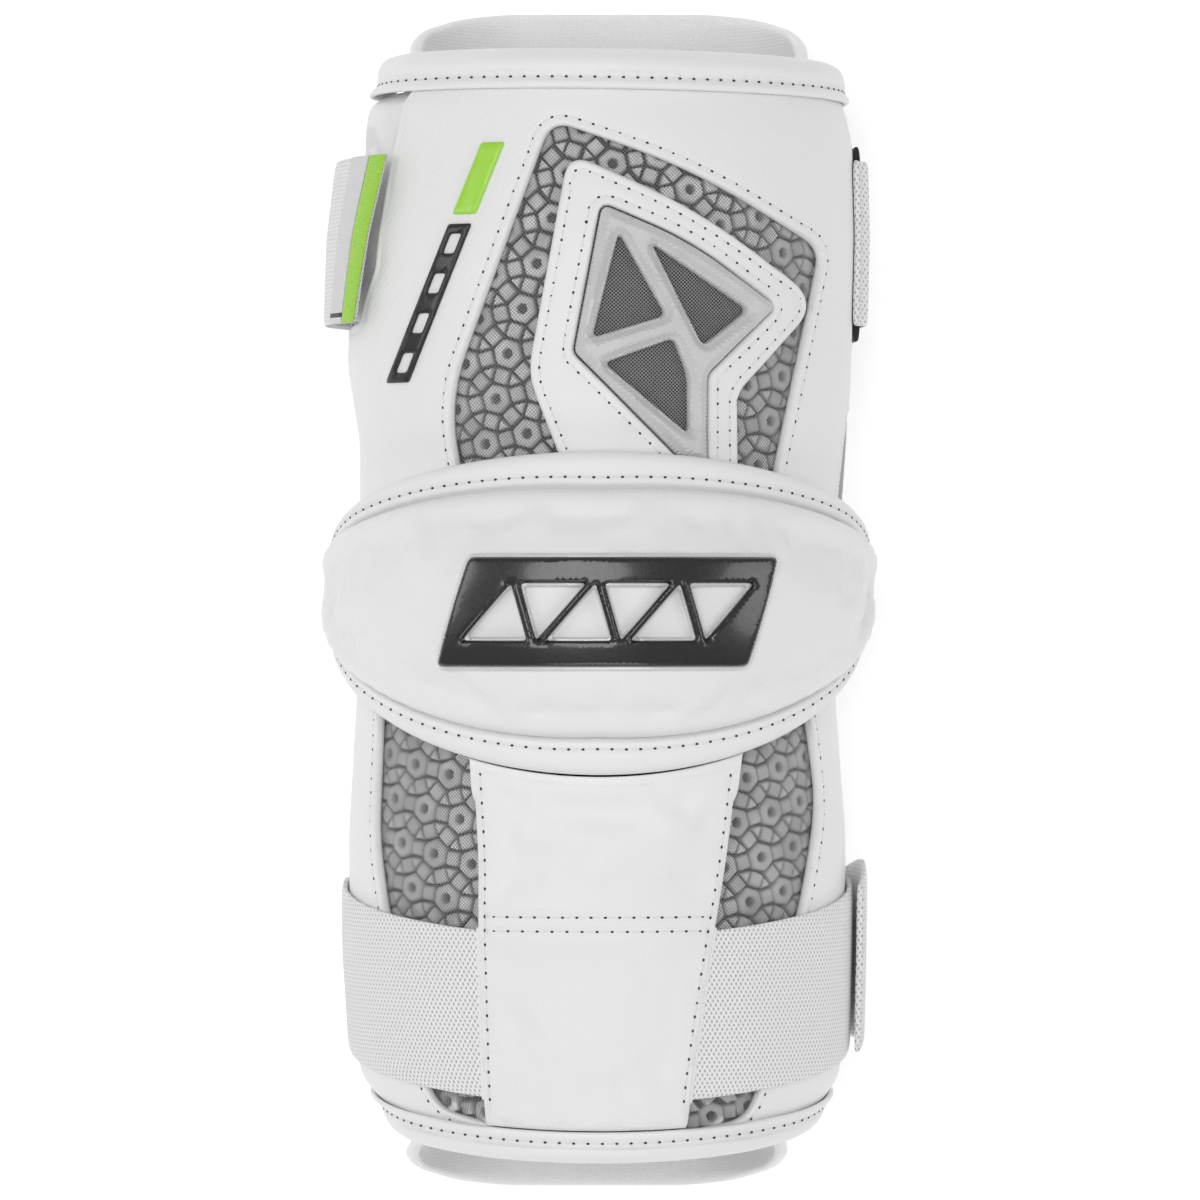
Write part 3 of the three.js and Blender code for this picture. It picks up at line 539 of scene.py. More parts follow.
def cut_piece(name, loops, low, high, rings=EDGE_RINGS, spacing=3.0, rows=()):
    """A closed piece cut to loops on the flat map, the first round it and the others its holes.
    low and high give heights above the sleeve from the distance to the cut edge, the angle and
    the place along the arm. rows are places that need points of their own, such as channels."""
    ways = [1] + [-1] * (len(loops) - 1)
    loops = [
        loop if signed_area(loop) * way > 0 else loop[::-1] for loop, way in zip(loops, ways)
    ]
    # Points, each with the least distance from the edge at which they are wanted
    wanted = [
        (resampled(inset(loop, ring, way), 1.0 + ring / 4), ring)
        for loop, way in zip(loops, ways)
        for ring in rings
    ]
    grid, lines = grid_over(loops[0], spacing, rows)
    wanted += [(line, 0.3) for line in lines] + [(grid, rings[-1] + spacing * 0.6)]
    kept = []
    for points, least in wanted:
        points = points[inside(points, loops)]
        kept.append(points[edge_distance(points, loops) > least * 0.93])
    co, faces = filled(loops, kept)
    distance = edge_distance(co, loops)
    angles, ys = co[:, 0] / AROUND, co[:, 1]
    count = len(co)
    over = on_arm(angles, ys, high(distance, angles, ys))
    under = on_arm(angles, ys, low(distance, angles, ys))
    sides = {(f[i], f[(i + 1) % 3]): True for f in faces.tolist() for i in range(3)}
    rim = [(i, j) for i, j in sides if (j, i) not in sides]
    faces = np.concatenate([faces + count, faces[:, ::-1]]).tolist()
    faces += [(i, j, j + count, i + count) for i, j in rim]
    return piece_of(name, np.concatenate([under, over]), faces, np.concatenate([co, co]))


def turned_edge(distance, thickness, roll=0.75):
    """The height of a turned-under edge: low where it is cut and full a little way in."""
    share = np.clip(distance / roll, 0, 1)
    return thickness * (0.35 + 0.65 * np.sqrt(1 - (1 - share) ** 2))


STITCH_IN = 2.5  # from a cut edge to its row of stitches
STITCH_SINK = 0.35  # from the leather's face down to a row of stitches


def sewn(distance, at=STITCH_IN, depth=STITCH_SINK):
    """The shallow groove that a row of stitches draws into the leather."""
    return -depth * hump(distance, at, 0.55)


# The thread. Rows of white lockstitch, a short raised thread and a needle hole in turn, 3.7
# millimetres apart, the hole a dark dot of painted shade, laid along lines on the cloth by Geometry
# Nodes.
STITCH_PITCH = 3.7


def tree_of(name, sockets):
    """An empty geometry node tree, its named inputs, and the socket that takes its result."""
    tree = bpy.data.node_groups.new(name, "GeometryNodeTree")
    tree.interface.new_socket("Geometry", in_out="OUTPUT", socket_type="NodeSocketGeometry")
    for label, kind in sockets.items():
        tree.interface.new_socket(label, in_out="INPUT", socket_type="NodeSocket" + kind)
    given = tree.nodes.new("NodeGroupInput")
    result = tree.nodes.new("NodeGroupOutput").inputs[0]
    return tree, {label: Shade(tree, given.outputs[label]) for label in sockets}, result


def baked(piece):
    """Leaves what a piece's modifiers make of it as its plain mesh."""
    bpy.context.view_layer.update()
    graph = bpy.context.evaluated_depsgraph_get()
    mesh = bpy.data.meshes.new_from_object(piece.evaluated_get(graph))
    mesh.name = piece.name
    piece.modifiers.clear()
    piece.data = mesh


def grow(piece, tree, **values):
    """Runs a tree on a piece."""
    modifier = piece.modifiers.new("grow", "NODES")
    modifier.node_group = tree
    for item in tree.interface.items_tree:
        if item.in_out == "INPUT" and item.name in values:
            modifier[item.identifier] = values[item.name]
    baked(piece)


def vector_of(start, name):
    """A vector that the points carry."""
    settings = {"data_type": "FLOAT_VECTOR"}
    return start.node("GeometryNodeInputNamedAttribute", settings, {"Name": name})


def scatter(points, copy, along, up, material, result, **more):
    """Copies on points, X along one vector and Z towards another, as a coloured mesh."""
    align = "FunctionNodeAlignRotationToVector"
    turn = points.node(align, {"axis": "X"}, {"Vector": along})
    turn = points.node(align, {"axis": "Z", "pivot_axis": "X"}, {"Rotation": turn, "Vector": up})
    inputs = {"Points": points, "Instance": copy, "Rotation": turn, **more}
    copies = points.node("GeometryNodeInstanceOnPoints", {}, inputs)
    real = points.node("GeometryNodeRealizeInstances", {}, {0: copies})
    inputs = {"Geometry": real, "Material": material}
    coloured = points.node("GeometryNodeSetMaterial", {}, inputs)
    points.tree.links.new(coloured.socket, result)


def stitch_tree():
    tree, given, result = tree_of("stitch_row", {
        "Geometry": "Geometry", "Pitch": "Float", "Shift": "Float", "Size": "Vector",
        "Material": "Material",
    })
    node = given["Geometry"].node
    curve = node("GeometryNodeMeshToCurve", {}, {"Mesh": given["Geometry"]})
    inputs = {"Curve": curve, "Length": given["Pitch"]}
    evenly = node("GeometryNodeResampleCurve", {"mode": "LENGTH"}, inputs)
    tangent = node("GeometryNodeInputTangent", {}, {})
    inputs = {0: tangent, "Scale": given["Shift"]}
    shift = node("ShaderNodeVectorMath", {"operation": "SCALE"}, inputs)
    moved = node("GeometryNodeSetPosition", {}, {"Geometry": evenly, "Offset": shift})
    ball = node("GeometryNodeMeshUVSphere", {}, {"Segments": 8, "Rings": 5, "Radius": 0.5})
    up = vector_of(tangent, "up")
    scatter(moved, ball, tangent, up, given["Material"], result, Scale=given["Size"])
    return tree


def thread_finish():
    material, shader, start, place = finish_of("white_thread", 0.7)
    twist = noise(place, 0.5, 1)
    paint(shader, Base_Color=twist.mixed(grey(0.72), grey(0.86)), Normal=bump(twist, 0.1))
    return material


# Painted shade: the needle holes are dark dots that stand in for the shade down each hole.
def hole_shade_finish():
    material, shader, start, place = finish_of("needle_hole", 0.9)
    paint(shader, Base_Color=noise(place, 1.0, 1).mixed(grey(0.02), grey(0.07)))
    return material


STITCHES = stitch_tree()
THREAD, HOLE_SHADE = thread_finish(), hole_shade_finish()
STITCH_PARTS = [
    # name, material, size, place along the row, height above the row
    ("thread", THREAD, (2.5 * MM, 0.5 * MM, 0.42 * MM), 0.0, 0.1),
    ("needle_holes", HOLE_SHADE, (0.95 * MM, 0.68 * MM, 0.34 * MM), STITCH_PITCH / 2, 0.06),
]


def vector_attribute(mesh, name, values):
    attribute = mesh.attributes.new(name, "FLOAT_VECTOR", "POINT")
    attribute.data.foreach_set("vector", np.ravel(values))


def sew(name, lines, height):
    """Sews rows of stitches along lines of the flat map, at a height above the sleeve."""
    for suffix, material, size, shift, lift in STITCH_PARTS:
        points, ups, edges = [], [], []
        for line in lines:
            angles, ys = line[:, 0] / AROUND, line[:, 1]
            first = len(points)
            points.extend(on_arm(angles, ys, height(angles, ys) + lift))
            ups.extend(out_of_arm(angles, ys))
            edges.extend((first + i, first + i + 1) for i in range(len(line) - 1))
        mesh = bpy.data.meshes.new(name)
        mesh.from_pydata((np.array(points) * MM).tolist(), edges, [])
        vector_attribute(mesh, "up", ups)
        row = placed(f"{name}_{suffix}", mesh)
        grow(row, STITCHES, Pitch=STITCH_PITCH * MM, Shift=shift * MM, Size=size, Material=material)
        hand_over(row, None, "leather")


# The upper arm's panel. One sheet of leather over the foam, with a large window cut out of it
# and its left edge cut back where the side flap comes out from under it.
TOP_EDGE = 0.875 * HALF_LENGTH
LEAN = 0.9
BOTTOM_EDGE = -0.912 * HALF_LENGTH
BOTTOM_CURVE = 8.0
UPPER_LOW = 0.005 * HALF_LENGTH
WING_LINE = np.array([
    # along, angle of the panel's edge
    (0.43, -WRAP), (0.45, -95), (0.475, -68), (0.56, -60), (0.74, -57), (0.9, -52),
])
SIDE_WINDOW = [(0.12, 71), (0.19, 72), (0.26, 74), (0.32, 78), (0.32, 104), (0.12, 104)]
SIDE_PAD = 2.3  # how far the mesh in it swells past the foam
UPPER_WINDOW = [
    # across, along, corner radius, as in the other outlines
    (-0.567, 0.128, 0), (-0.683, 0.327, 14), (-0.215, 0.801, 6),
    (0.4, 0.72, 60), (0.993, 0.592, 5), (0.727, 0.128, 0),
]
SEEN_FROM = 30  # the rows of stitches nearer the elbow than this lie under the cap


def top_edge(angle):
    return TOP_EDGE - LEAN * np.sin(np.radians(angle))


def bottom_edge(angle):
    return BOTTOM_EDGE + BOTTOM_CURVE * (1 - np.cos(np.radians(angle)))


def wing_angle(y):
    return np.interp(y / HALF_LENGTH, WING_LINE[:, 0], WING_LINE[:, 1])


def upper_outline():
    across = np.linspace(wing_angle(TOP_EDGE), WRAP, 60)
    rising = np.linspace(WING_LINE[0, 0] * HALF_LENGTH, TOP_EDGE, 50)
    parts = [
        on_map(across, top_edge(across))[::-1], on_map(wing_angle(rising), rising)[::-1],
        [(-WRAP * AROUND, UPPER_LOW), (WRAP * AROUND, UPPER_LOW)],
    ]
    return resampled(np.concatenate(parts), LOOP_STEP)


leather = leather_finish("white_leather")
woven_leather = leather_finish("white_leather_woven", grain=2.4, weave=True)
window = laid(UPPER_WINDOW)
side_window = resampled(rounded([(a * AROUND / HALF_WIDTH, y, 2) for y, a in SIDE_WINDOW]), 1.0)
upper_loop = upper_outline()


def on_foam(distance, angle, y):
    return leather_low(angle)


def leather_height(distance, angle, y):
    return leather_low(angle) + turned_edge(distance, LEATHER) + sewn(distance)


def stitch_height(angle, y):
    return leather_top(angle) - STITCH_SINK


upper_panel = cut_piece(
    "upper_panel", [upper_loop, window, side_window], on_foam, leather_height
)
hand_over(upper_panel, woven_leather, "leather", "upper_shell")


def above_cap(line):
    """The part of a closed line that the cap leaves in sight."""
    kept = line[:, 1] > SEEN_FROM
    if kept.all():
        return np.concatenate([line, line[:1]])
    start = int(np.argmin(kept))
    return np.roll(line, -start, 0)[np.roll(kept, -start)]


sew("upper_panel", [above_cap(inset(window, STITCH_IN, -1))], stitch_height)

# The patch and the truss. A smaller leather patch frames a truss moulded in soft grey plastic,
# whose ridges meet in the middle. The patch is sewn down round its own edge and round the truss.
PATCH = 2.0
TRUSS = 4.2
PATCH_OUTLINE = [
    (-0.09, 0.154, 0), (-0.32, 0.375, 6), (-0.14, 0.747, 7), (0.417, 0.654, 60),
    (0.978, 0.503, 10), (0.605, 0.344, 3), (0.61, 0.154, 0),
]
TRUSS_OUTLINE = [
    (0.01, 0.659, 2.5), (0.4, 0.596, 60), (0.775, 0.492, 2.5), (0.468, 0.376, 2),
    (0.468, 0.215, 0), (0.41, 0.215, 0), (-0.113, 0.413, 1.5),
]
TRUSS_OPENINGS = [
    [(0.082, 0.612, 2), (-0.035, 0.436, 2), (0.29, 0.474, 2)],
    [(0.225, 0.594, 2), (0.658, 0.485, 2.5), (0.45, 0.423, 2)],
    [(0.017, 0.394, 2), (0.323, 0.436, 2), (0.387, 0.375, 3), (0.388, 0.276, 2)],
]
truss_loop = laid(TRUSS_OUTLINE)
patch_loop = laid(PATCH_OUTLINE)
truss_gap = inset(truss_loop, 0.45, -1)
patch = cut_piece(
    "patch_leather", [patch_loop, truss_gap], on_foam,
    lambda d, a, y: leather_low(a) + turned_edge(d, PATCH) + sewn(d),
)
hand_over(patch, leather, "leather", "window_patch")
patch_rows = [above_cap(inset(patch_loop, STITCH_IN)), above_cap(inset(truss_gap, STITCH_IN, -1))]
sew("window_patch", patch_rows, lambda a, y: leather_low(a) + PATCH - STITCH_SINK)


def truss_finish():
    material, shader, start, place = finish_of("grey_plastic", 0.42, Specular_IOR_Level=0.45)
    tone = noise(place, 6, 4).mixed(grey(0.56), grey(0.66, (1, 1, 1.01)))
    fine = noise(place, 0.5, 2)
    paint(shader, Base_Color=tone, Roughness=0.36 + fine * 0.16, Normal=bump(fine, 0.03))
    return material


CAP_TOP, CAP_TOP_BEND, CAP_BEND_AT = 38.4, 14.0, 65.0
FLANK_SHARES = (0.3, 0.28, 0.42)  # of the truss's height: its foot, its flank and its ridge


def cap_top(angle):
    return CAP_TOP - CAP_TOP_BEND * (angle / CAP_BEND_AT) ** 2


def truss_height(distance, angle, y):
    """A bar with steep flanks that rise to a ridge along its middle, pressed flat by the cap."""
    flank = np.sqrt(1 - (1 - np.clip(distance / 0.4, 0, 1)) ** 2)
    ridge = np.clip((distance - 0.7) / 1.5, 0, 1)
    foot, steep, slope = FLANK_SHARES
    free = TRUSS * (foot + steep * flank + slope * ridge)
    pressed = LEATHER + SEAT - 0.1
    above = smoothstep(y - cap_top(angle), 0.3, 1.2)
    return leather_low(angle) + np.minimum(free, pressed + (TRUSS - pressed) * above)


truss_openings = [laid(opening, step=0.8) for opening in TRUSS_OPENINGS]
truss = cut_piece(
    "plastic_truss", [truss_loop, *truss_openings], on_foam, truss_height,
    rings=(0.15, 0.45, 0.7, 1.2, 1.7, 2.2), spacing=0.75,
)
truss.data.polygons.foreach_set("use_smooth", [False] * len(truss.data.polygons))
hand_over(truss, truss_finish(), "truss_plastic", "truss_insert")

# The cell foam. Sheets of grey rubber moulded into small blocks, rounded hexagons with a hole,
# squares and triangles, with deep grooves between them that are darkened with painted shade,
# under a fine net that is seen through.
CELL_EDGE = 4.5
CELL_PITCH = CELL_EDGE * (1 + math.sqrt(3))
GROOVE = 0.75
CELL_FLOOR = 1.6
CELL_TOP = FOAM - 0.55
CELL_TURN = 12
UNDER_EDGE = 0.8  # how far the foam ends inside the leather's edge


def foam_finish(name, low, high):
    """Grey rubber, with painted shade darkening it down its grooves and holes."""
    material, shader, start, place = finish_of(name, 0.5, Specular_IOR_Level=0.4)
    depth = start.node("ShaderNodeAttribute", {"attribute_name": "depth"}, {}, output=2)
    mottle = ((noise(place, 7.0, 3) - 0.5) * 3.0 + 0.5).clipped()
    fine = noise(place, 0.4, 2)
    # Painted shade: each block darkens towards its foot, deep in the grooves.
    tone = (depth * depth).mixed(grey(0.1), mottle.mixed(grey(low), grey(high)))
    paint(shader, Base_Color=tone, Normal=bump(fine, 0.05))
    return material


# The sheet between the blocks is painted near black: painted shade at the foot of the grooves.
def groove_shade_finish():
    material, shader, start, place = finish_of("dark_cell_floor", 0.8)
    paint(shader, Base_Color=noise(place, 2.0, 2).mixed(grey(0.035), grey(0.08)))
    return material


def cell_block(name, sides, radius, hole=0.0):
    """A moulded block with cut corners and a soft top edge, of a size in millimetres."""
    turns = 2 * math.pi * np.arange(sides) / sides
    corner = np.stack([np.cos(turns), np.sin(turns)], -1)
    before, after = np.roll(corner, 1, 0), np.roll(corner, -1, 0)
    cut = 0.16 if sides > 3 else 0.12
    soft = corner * (1 - 0.5 * cut) + (before + after) * 0.25 * cut
    ring = np.stack([corner * (1 - cut) + before * cut, soft, corner * (1 - cut) + after * cut], 1)
    ring = ring.reshape(-1, 2)
    depth = CELL_TOP - CELL_FLOOR
    rim = min(0.35, 0.2 * radius) / radius
    levels = [
        (1.0, 0.0), (1.0 - 0.2 * rim, depth - 0.9), (1 - 0.8 * rim, depth - 0.4),
        (1 - 2 * rim, depth - 0.12), (1 - 3.2 * rim, depth),
    ]
    if hole:
        share = hole / radius
        levels += [(share, depth), (share * 0.9, depth - 0.3), (share * 0.85, 0.3)]
    count = len(ring)
    points = [(*(corner * radius * share), z) for share, z in levels for corner in ring]
    faces = []
    for a in range(0, (len(levels) - 1) * count, count):
        for i in range(count):
            j = (i + 1) % count
            faces.append((a + i, a + j, a + count + j, a + count + i))
    faces.append(range(len(points) - count, len(points)))
    block = piece_of(name, points, faces)
    share = np.clip(np.array(points)[:, 2] / (depth - 0.1), 0, 1)
    block.data.attributes.new("depth", "FLOAT", "POINT").data.foreach_set("value", share)
    return block


def cell_tree():
    tree, given, result = tree_of("cell_field", {
        "Geometry": "Geometry", "Block": "Object", "Material": "Material",
    })
    points = given["Geometry"]
    inputs = {"Object": given["Block"]}
    block = points.node("GeometryNodeObjectInfo", {}, inputs, output="Geometry")
    facing, up = vector_of(points, "facing"), vector_of(points, "up")
    scatter(points, block, facing, up, given["Material"], result)
    return tree


def ahead_of(angle, distance):
    return np.array([math.cos(angle), math.sin(angle)]) * distance


def cell_places(low, high, turn=0.0):
    """Centres and facings of the hexagons, squares and triangles over a box of the flat map."""
    hexes, squares, triangles = [], [], []
    rows = np.array([[1, 0], [0.5, math.sqrt(3) / 2]]) * CELL_PITCH
    c, s = math.cos(turn), math.sin(turn)
    spin = np.array([[c, s], [-s, c]])
    reach = int((max(high - low) + 60) / CELL_PITCH) + 2
    middle = (low + high) / 2
    for i in range(-reach, reach + 1):
        for j in range(-reach, reach + 1):
            centre = (i * rows[0] + j * rows[1]) @ spin + middle
            if (centre < low - 8).any() or (centre > high + 8).any():
                continue
            hexes.append((centre, turn + math.pi / 6))
            for angle in turn + np.arange(3) * math.pi / 3:
                squares.append((centre + ahead_of(angle, CELL_PITCH / 2), angle + math.pi / 4))
            for angle in turn + math.pi / 6 + np.arange(2) * math.pi / 3:
                corner = centre + ahead_of(angle, CELL_PITCH / math.sqrt(3))
                triangles.append((corner, angle + math.pi))
    return hexes, squares, triangles


foam_grey, groove_shade = foam_finish("grey_cells", 0.66, 0.95), groove_shade_finish()
foam_pale = foam_finish("pale_cells", 0.9, 0.98)
CELLS = cell_tree()
HEXAGON = cell_block("hexagon_block", 6, CELL_EDGE - GROOVE / 2 / math.cos(math.pi / 6), hole=1.75)
SQUARE = cell_block("square_block", 4, (CELL_EDGE - GROOVE) / math.sqrt(2))
TRIANGLE = cell_block("triangle_block", 3, (CELL_EDGE / 2 / math.sqrt(3) - GROOVE / 2) * 2)
BLOCKS = [
    ("hexagons", HEXAGON, foam_grey), ("squares", SQUARE, foam_grey),
    ("triangles", TRIANGLE, foam_pale),
]
UNDER_LEATHER = 4  # how far the blocks go on past the edge of their window


def cell_field(name, loop, turn):
    """The blocks under one window, cut off a little way under the leather round it."""
    low, high = loop.min(0), loop.max(0)
    for places, (kind, block, finish) in zip(cell_places(low, high, turn), BLOCKS):
        centres = np.array([centre for centre, _ in places])
        facings = np.array([facing for _, facing in places])
        near = inside(centres, [loop]) | (edge_distance(centres, [loop]) < UNDER_LEATHER)
        centres, facings = centres[near], facings[near]
        angles, ys = centres[:, 0] / AROUND, centres[:, 1]
        step = np.stack([np.cos(facings), np.sin(facings)], -1)
        at = on_arm(angles, ys, CELL_FLOOR)
        ahead = on_arm(angles + step[:, 0] / AROUND, ys + step[:, 1], CELL_FLOOR) - at
        mesh = bpy.data.meshes.new(name)
        mesh.from_pydata((at * MM).tolist(), [], [])
        for label, values in (("facing", ahead), ("up", out_of_arm(angles, ys))):
            vector_attribute(mesh, label, values / np.linalg.norm(values, axis=1, keepdims=True))
        field = placed(f"{name}_{kind}", mesh)
        grow(field, CELLS, Block=block, Material=finish)
        hand_over(field, None, "cell_foam")


def foam_sheet(name, outline, node):
    """The sheet that the blocks stand on, as wide as the leather over it."""
    sheet = cut_piece(
        name, [outline], lambda d, a, y: CLEARANCE + 0 * a,
        lambda d, a, y: np.minimum(CELL_FLOOR, foam_top(a) - 0.2) + 0 * a,
        rings=(1.0,), spacing=5.0,
    )
    hand_over(sheet, groove_shade, "cell_foam", node)


foam_sheet("upper_foam_sheet", inset(upper_loop, UNDER_EDGE), "upper_foam")
cell_field("upper_cells", window, math.radians(CELL_TURN))


def flat_map(mesh):
    """The flat map of each corner of a mesh's faces, in metres."""
    uv = np.empty(len(mesh.loops) * 2)
    mesh.uv_layers["flat"].data.foreach_get("uv", uv)
    return uv.reshape(-1, 2)


def cloth(piece, held, *rests_on):
    """Works out the area of a sheet's flat map, which nothing then uses."""
    uv = flat_map(piece.data)
    area = sum(
        abs(signed_area(uv[face.loop_start : face.loop_start + face.loop_total]))
        for face in piece.data.polygons
    )


def net_finish(name, low, high, cover, painted_shade=0.0):
    """Crossing yarns, seen through between them, or with a veil of painted shade, black between the
    yarns, behind them.
    """
    material, shader, start, place = finish_of(name, 0.6)
    u, v = flat_places(start)
    yarns = wave(u + v, 0.95).maths("MAXIMUM", wave(u - v, 0.95))
    mask = yarns > cover
    tone = mask.mixed(grey(0.03), noise(place, 4).mixed(grey(low), grey(high)))
    paint(shader, Base_Color=tone, Alpha=mask * (0.9 - painted_shade) + painted_shade)
    return material


NET = 0.16
pale_net = net_finish("fine_net", 0.26, 0.36, 0.94)
dark_net = net_finish("dark_net", 0.3, 0.38, 0.9, 0.6)


def side_mesh_finish():
    material, shader, start, place = finish_of("side_mesh", 0.7)
    u, v = flat_places(start)
    yarns = wave(u + v, 1.1) * wave(u - v, 1.1)
    tone = (yarns * 2.0).clipped().mixed(grey(0.2), grey(0.6))
    paint(shader, Base_Color=tone, Normal=bump(yarns, 0.1))
    return material


def make_net(name, loop, finish, lift, *rests_on):
    """The fine net stretched over the blocks, caught under the leather round the window."""
    net = cut_piece(
        name, [resampled(inset(loop, 3.0, -1), 2.0)],
        lambda d, a, y: foam_top(a) + lift - NET / 2,
        lambda d, a, y: foam_top(a) + lift + NET / 2,
        rings=(1.0,),
    )
    hand_over(net, finish, "knit")
    cloth(net, "stretched", *rests_on)


make_net("upper_net", window, pale_net, 0, "upper_foam_sheet")
# Under the truss the net carries a veil of painted shade, which darkens the cells seen through it.
make_net("truss_net", truss_loop, dark_net, 0.19, "upper_net")
side_pad = cut_piece(
    "side_mesh_pad", [inset(side_window, 0.3)],
    lambda d, a, y: CELL_FLOOR + 0.1 + 0 * a,
    lambda d, a, y: foam_top(a) + SIDE_PAD * turned_edge(d, 1, 2.0),
)
hand_over(side_pad, side_mesh_finish(), "knit")

# The mark on the upper panel. A thin glossy black print of four slanting bars and a short
# green end, pressed onto the leather beside the window.
MARK = 0.5
MARK_WIDTH = 0.1
MARK_FROM, MARK_TO = np.array([-0.883, 0.365]), np.array([-0.463, 0.765])
BAR_END, TIP_START, BAR_SLOTS = 0.66, 0.7, 4


def plastic_finish(name, roughness, colours, sizes, shine, relief, **constant):
    """Smooth plastic or print. sizes are those of its clouds, its shine and its relief, and
    shine is its least roughness and what the noise adds to it."""
    material, shader, start, place = finish_of(name, roughness, **constant)
    clouds, sheen, fine = (noise(place, size) for size in sizes)
    paint(
        shader,
        Base_Color=clouds.mixed(*colours),
        Roughness=shine[0] + sheen * shine[1],
        Normal=bump(fine, relief),
    )
    return material


def print_finish(name, *colours):
    coat = {"Coat_Weight": 0.2, "Coat_Roughness": 0.2}
    return plastic_finish(name, 0.3, colours, (5, 1.2, 0.8), (0.24, 0.18), 0.02, **coat)


def mark_loop(start, end, width=MARK_WIDTH):
    corners = []
    for share, side in ((start, -0.5), (start, 0.5), (end, 0.5), (end, -0.5)):
        at = MARK_FROM + (MARK_TO - MARK_FROM) * share
        corners.append((at[0] + side * width, at[1], 0.6))
    return laid(corners, step=0.6)


def make_mark(name, loops):
    return cut_piece(
        name, loops, lambda d, a, y: leather_top(a) - 0.05,
        lambda d, a, y: on_leather(a) + turned_edge(d, MARK, 0.4),
        rings=(0.2, 0.5), spacing=1.6,
    )


black_print = print_finish("black_print", grey(0.007), grey(0.014))
green_print = print_finish("green_print", (0.34, 0.68, 0.05, 1), (0.38, 0.74, 0.055, 1))
slot_step = BAR_END / BAR_SLOTS
slots = [
    mark_loop((i + 0.25) * slot_step, (i + 0.75) * slot_step, MARK_WIDTH / 2)
    for i in range(BAR_SLOTS)
]
bars = make_mark("black_bars", [mark_loop(0, BAR_END), *slots])
hand_over(bars, black_print, "black_print", "mark_bars")
hand_over(make_mark("green_bar", [mark_loop(TIP_START, 1)]), green_print, "green_print", "mark_tip")

# The side flap. A padded leather flap that comes out from under the panel's edge at the left
# and fills out the side, soft and full, held down by the strap's pull tab.
WING, WING_EDGE, WING_FOLD = 6.6, 1.1, 0.35
WING_BACK = -118.0
WING_GAP = 1.5
WING_LOW, WING_HIGH = 0.47 * HALF_LENGTH, 0.865 * HALF_LENGTH


def fullness(share, power=8):
    return np.sqrt(np.clip(1 - np.abs(2 * share - 1) ** power, 0, 1))


def vertices_of(mesh):
    points = np.empty(len(mesh.vertices) * 3)
    mesh.vertices.foreach_get("co", points)
    return points.reshape(-1, 3)


def nearest(tree, points, count):
    """Indices and distances of the nearest points of a tree, for each of some points."""
    found = [tree.find_n(point, count) for point in points]
    indices = np.array([[index for _, index, _ in row] for row in found])
    return indices, np.array([[distance for *_, distance in row] for row in found])


def tree_of_points(points):
    tree = KDTree(len(points))
    for i, point in enumerate(points):
        tree.insert(point, i)
    tree.balance()
    return tree


VOXEL = 4.0 * MM
SPARE_CLOTH = 0.035  # the share by which the cloth is cut larger than the shape it covers
FRAMES = range(1, 21)
PRESSURE = 4.0
SHARED = 4  # the points of the coarse copy that each point's movement is worked out from


def map_of(piece):
    """The angle and the place along the arm of each point of a piece, from its flat map."""
    mesh = piece.data
    corners = np.empty(len(mesh.loops), int)
    mesh.loops.foreach_get("vertex_index", corners)
    flat = np.zeros((len(mesh.vertices), 2))
    flat[corners] = flat_map(mesh) / MM
    return flat[:, 0] / AROUND, flat[:, 1]


def stuffed(piece, free, most):
    """Lets a padded piece swell as stuffed cloth does. It starts a little smaller, a coarse
    remeshed copy swells under pressure, held where free is 0, and its movement is given back
    to the piece's own mesh. free is a share for each point, and most is in millimetres."""
    scene = bpy.context.scene
    fine = vertices_of(piece.data) - out_of_arm(*map_of(piece)) * free[:, None] * most * MM
    piece.data.vertices.foreach_set("co", fine.ravel())
    coarse = placed("coarse_cloth", piece.data.copy())
    remesh = coarse.modifiers.new("remesh", "REMESH")
    remesh.mode, remesh.voxel_size = "VOXEL", VOXEL
    baked(coarse)
    before = vertices_of(coarse.data)
    closest, _ = nearest(tree_of_points(fine), before, 1)
    held = coarse.vertex_groups.new(name="held")
    for index, share in enumerate(1 - free[closest[:, 0]]):
        held.add([index], float(share), "REPLACE")
    settings = coarse.modifiers.new("cloth", "CLOTH").settings
    settings.quality, settings.mass = 6, 0.02
    settings.shrink_min = settings.shrink_max = -SPARE_CLOTH
    settings.use_pressure, settings.uniform_pressure_force = True, PRESSURE
    settings.vertex_group_mass = "held"
    settings.effector_weights.gravity = 0
    for frame_number in FRAMES:
        scene.frame_set(frame_number)
    graph = bpy.context.evaluated_depsgraph_get()
    moved = vertices_of(coarse.evaluated_get(graph).data) - before
    far = np.linalg.norm(moved, axis=1, keepdims=True)
    moved *= np.minimum(1, most * MM / np.maximum(far, 1e-9))
    indices, distances = nearest(tree_of_points(before), fine, SHARED)
    weights = 1 / (distances + 0.2 * MM)
    weights /= weights.sum(1, keepdims=True)
    fine += (moved[indices] * weights[..., None]).sum(1) * free[:, None]
    piece.data.vertices.foreach_set("co", fine.ravel())
    piece.data.update()
    scene.frame_set(1)
    bpy.data.objects.remove(coarse)


def free_top(distance):
    """How free the points of a closed sheet are: the under side is held, and the top's edges."""
    top = smoothstep(distance, 1, 9).ravel()
    return np.concatenate([0 * top, top])


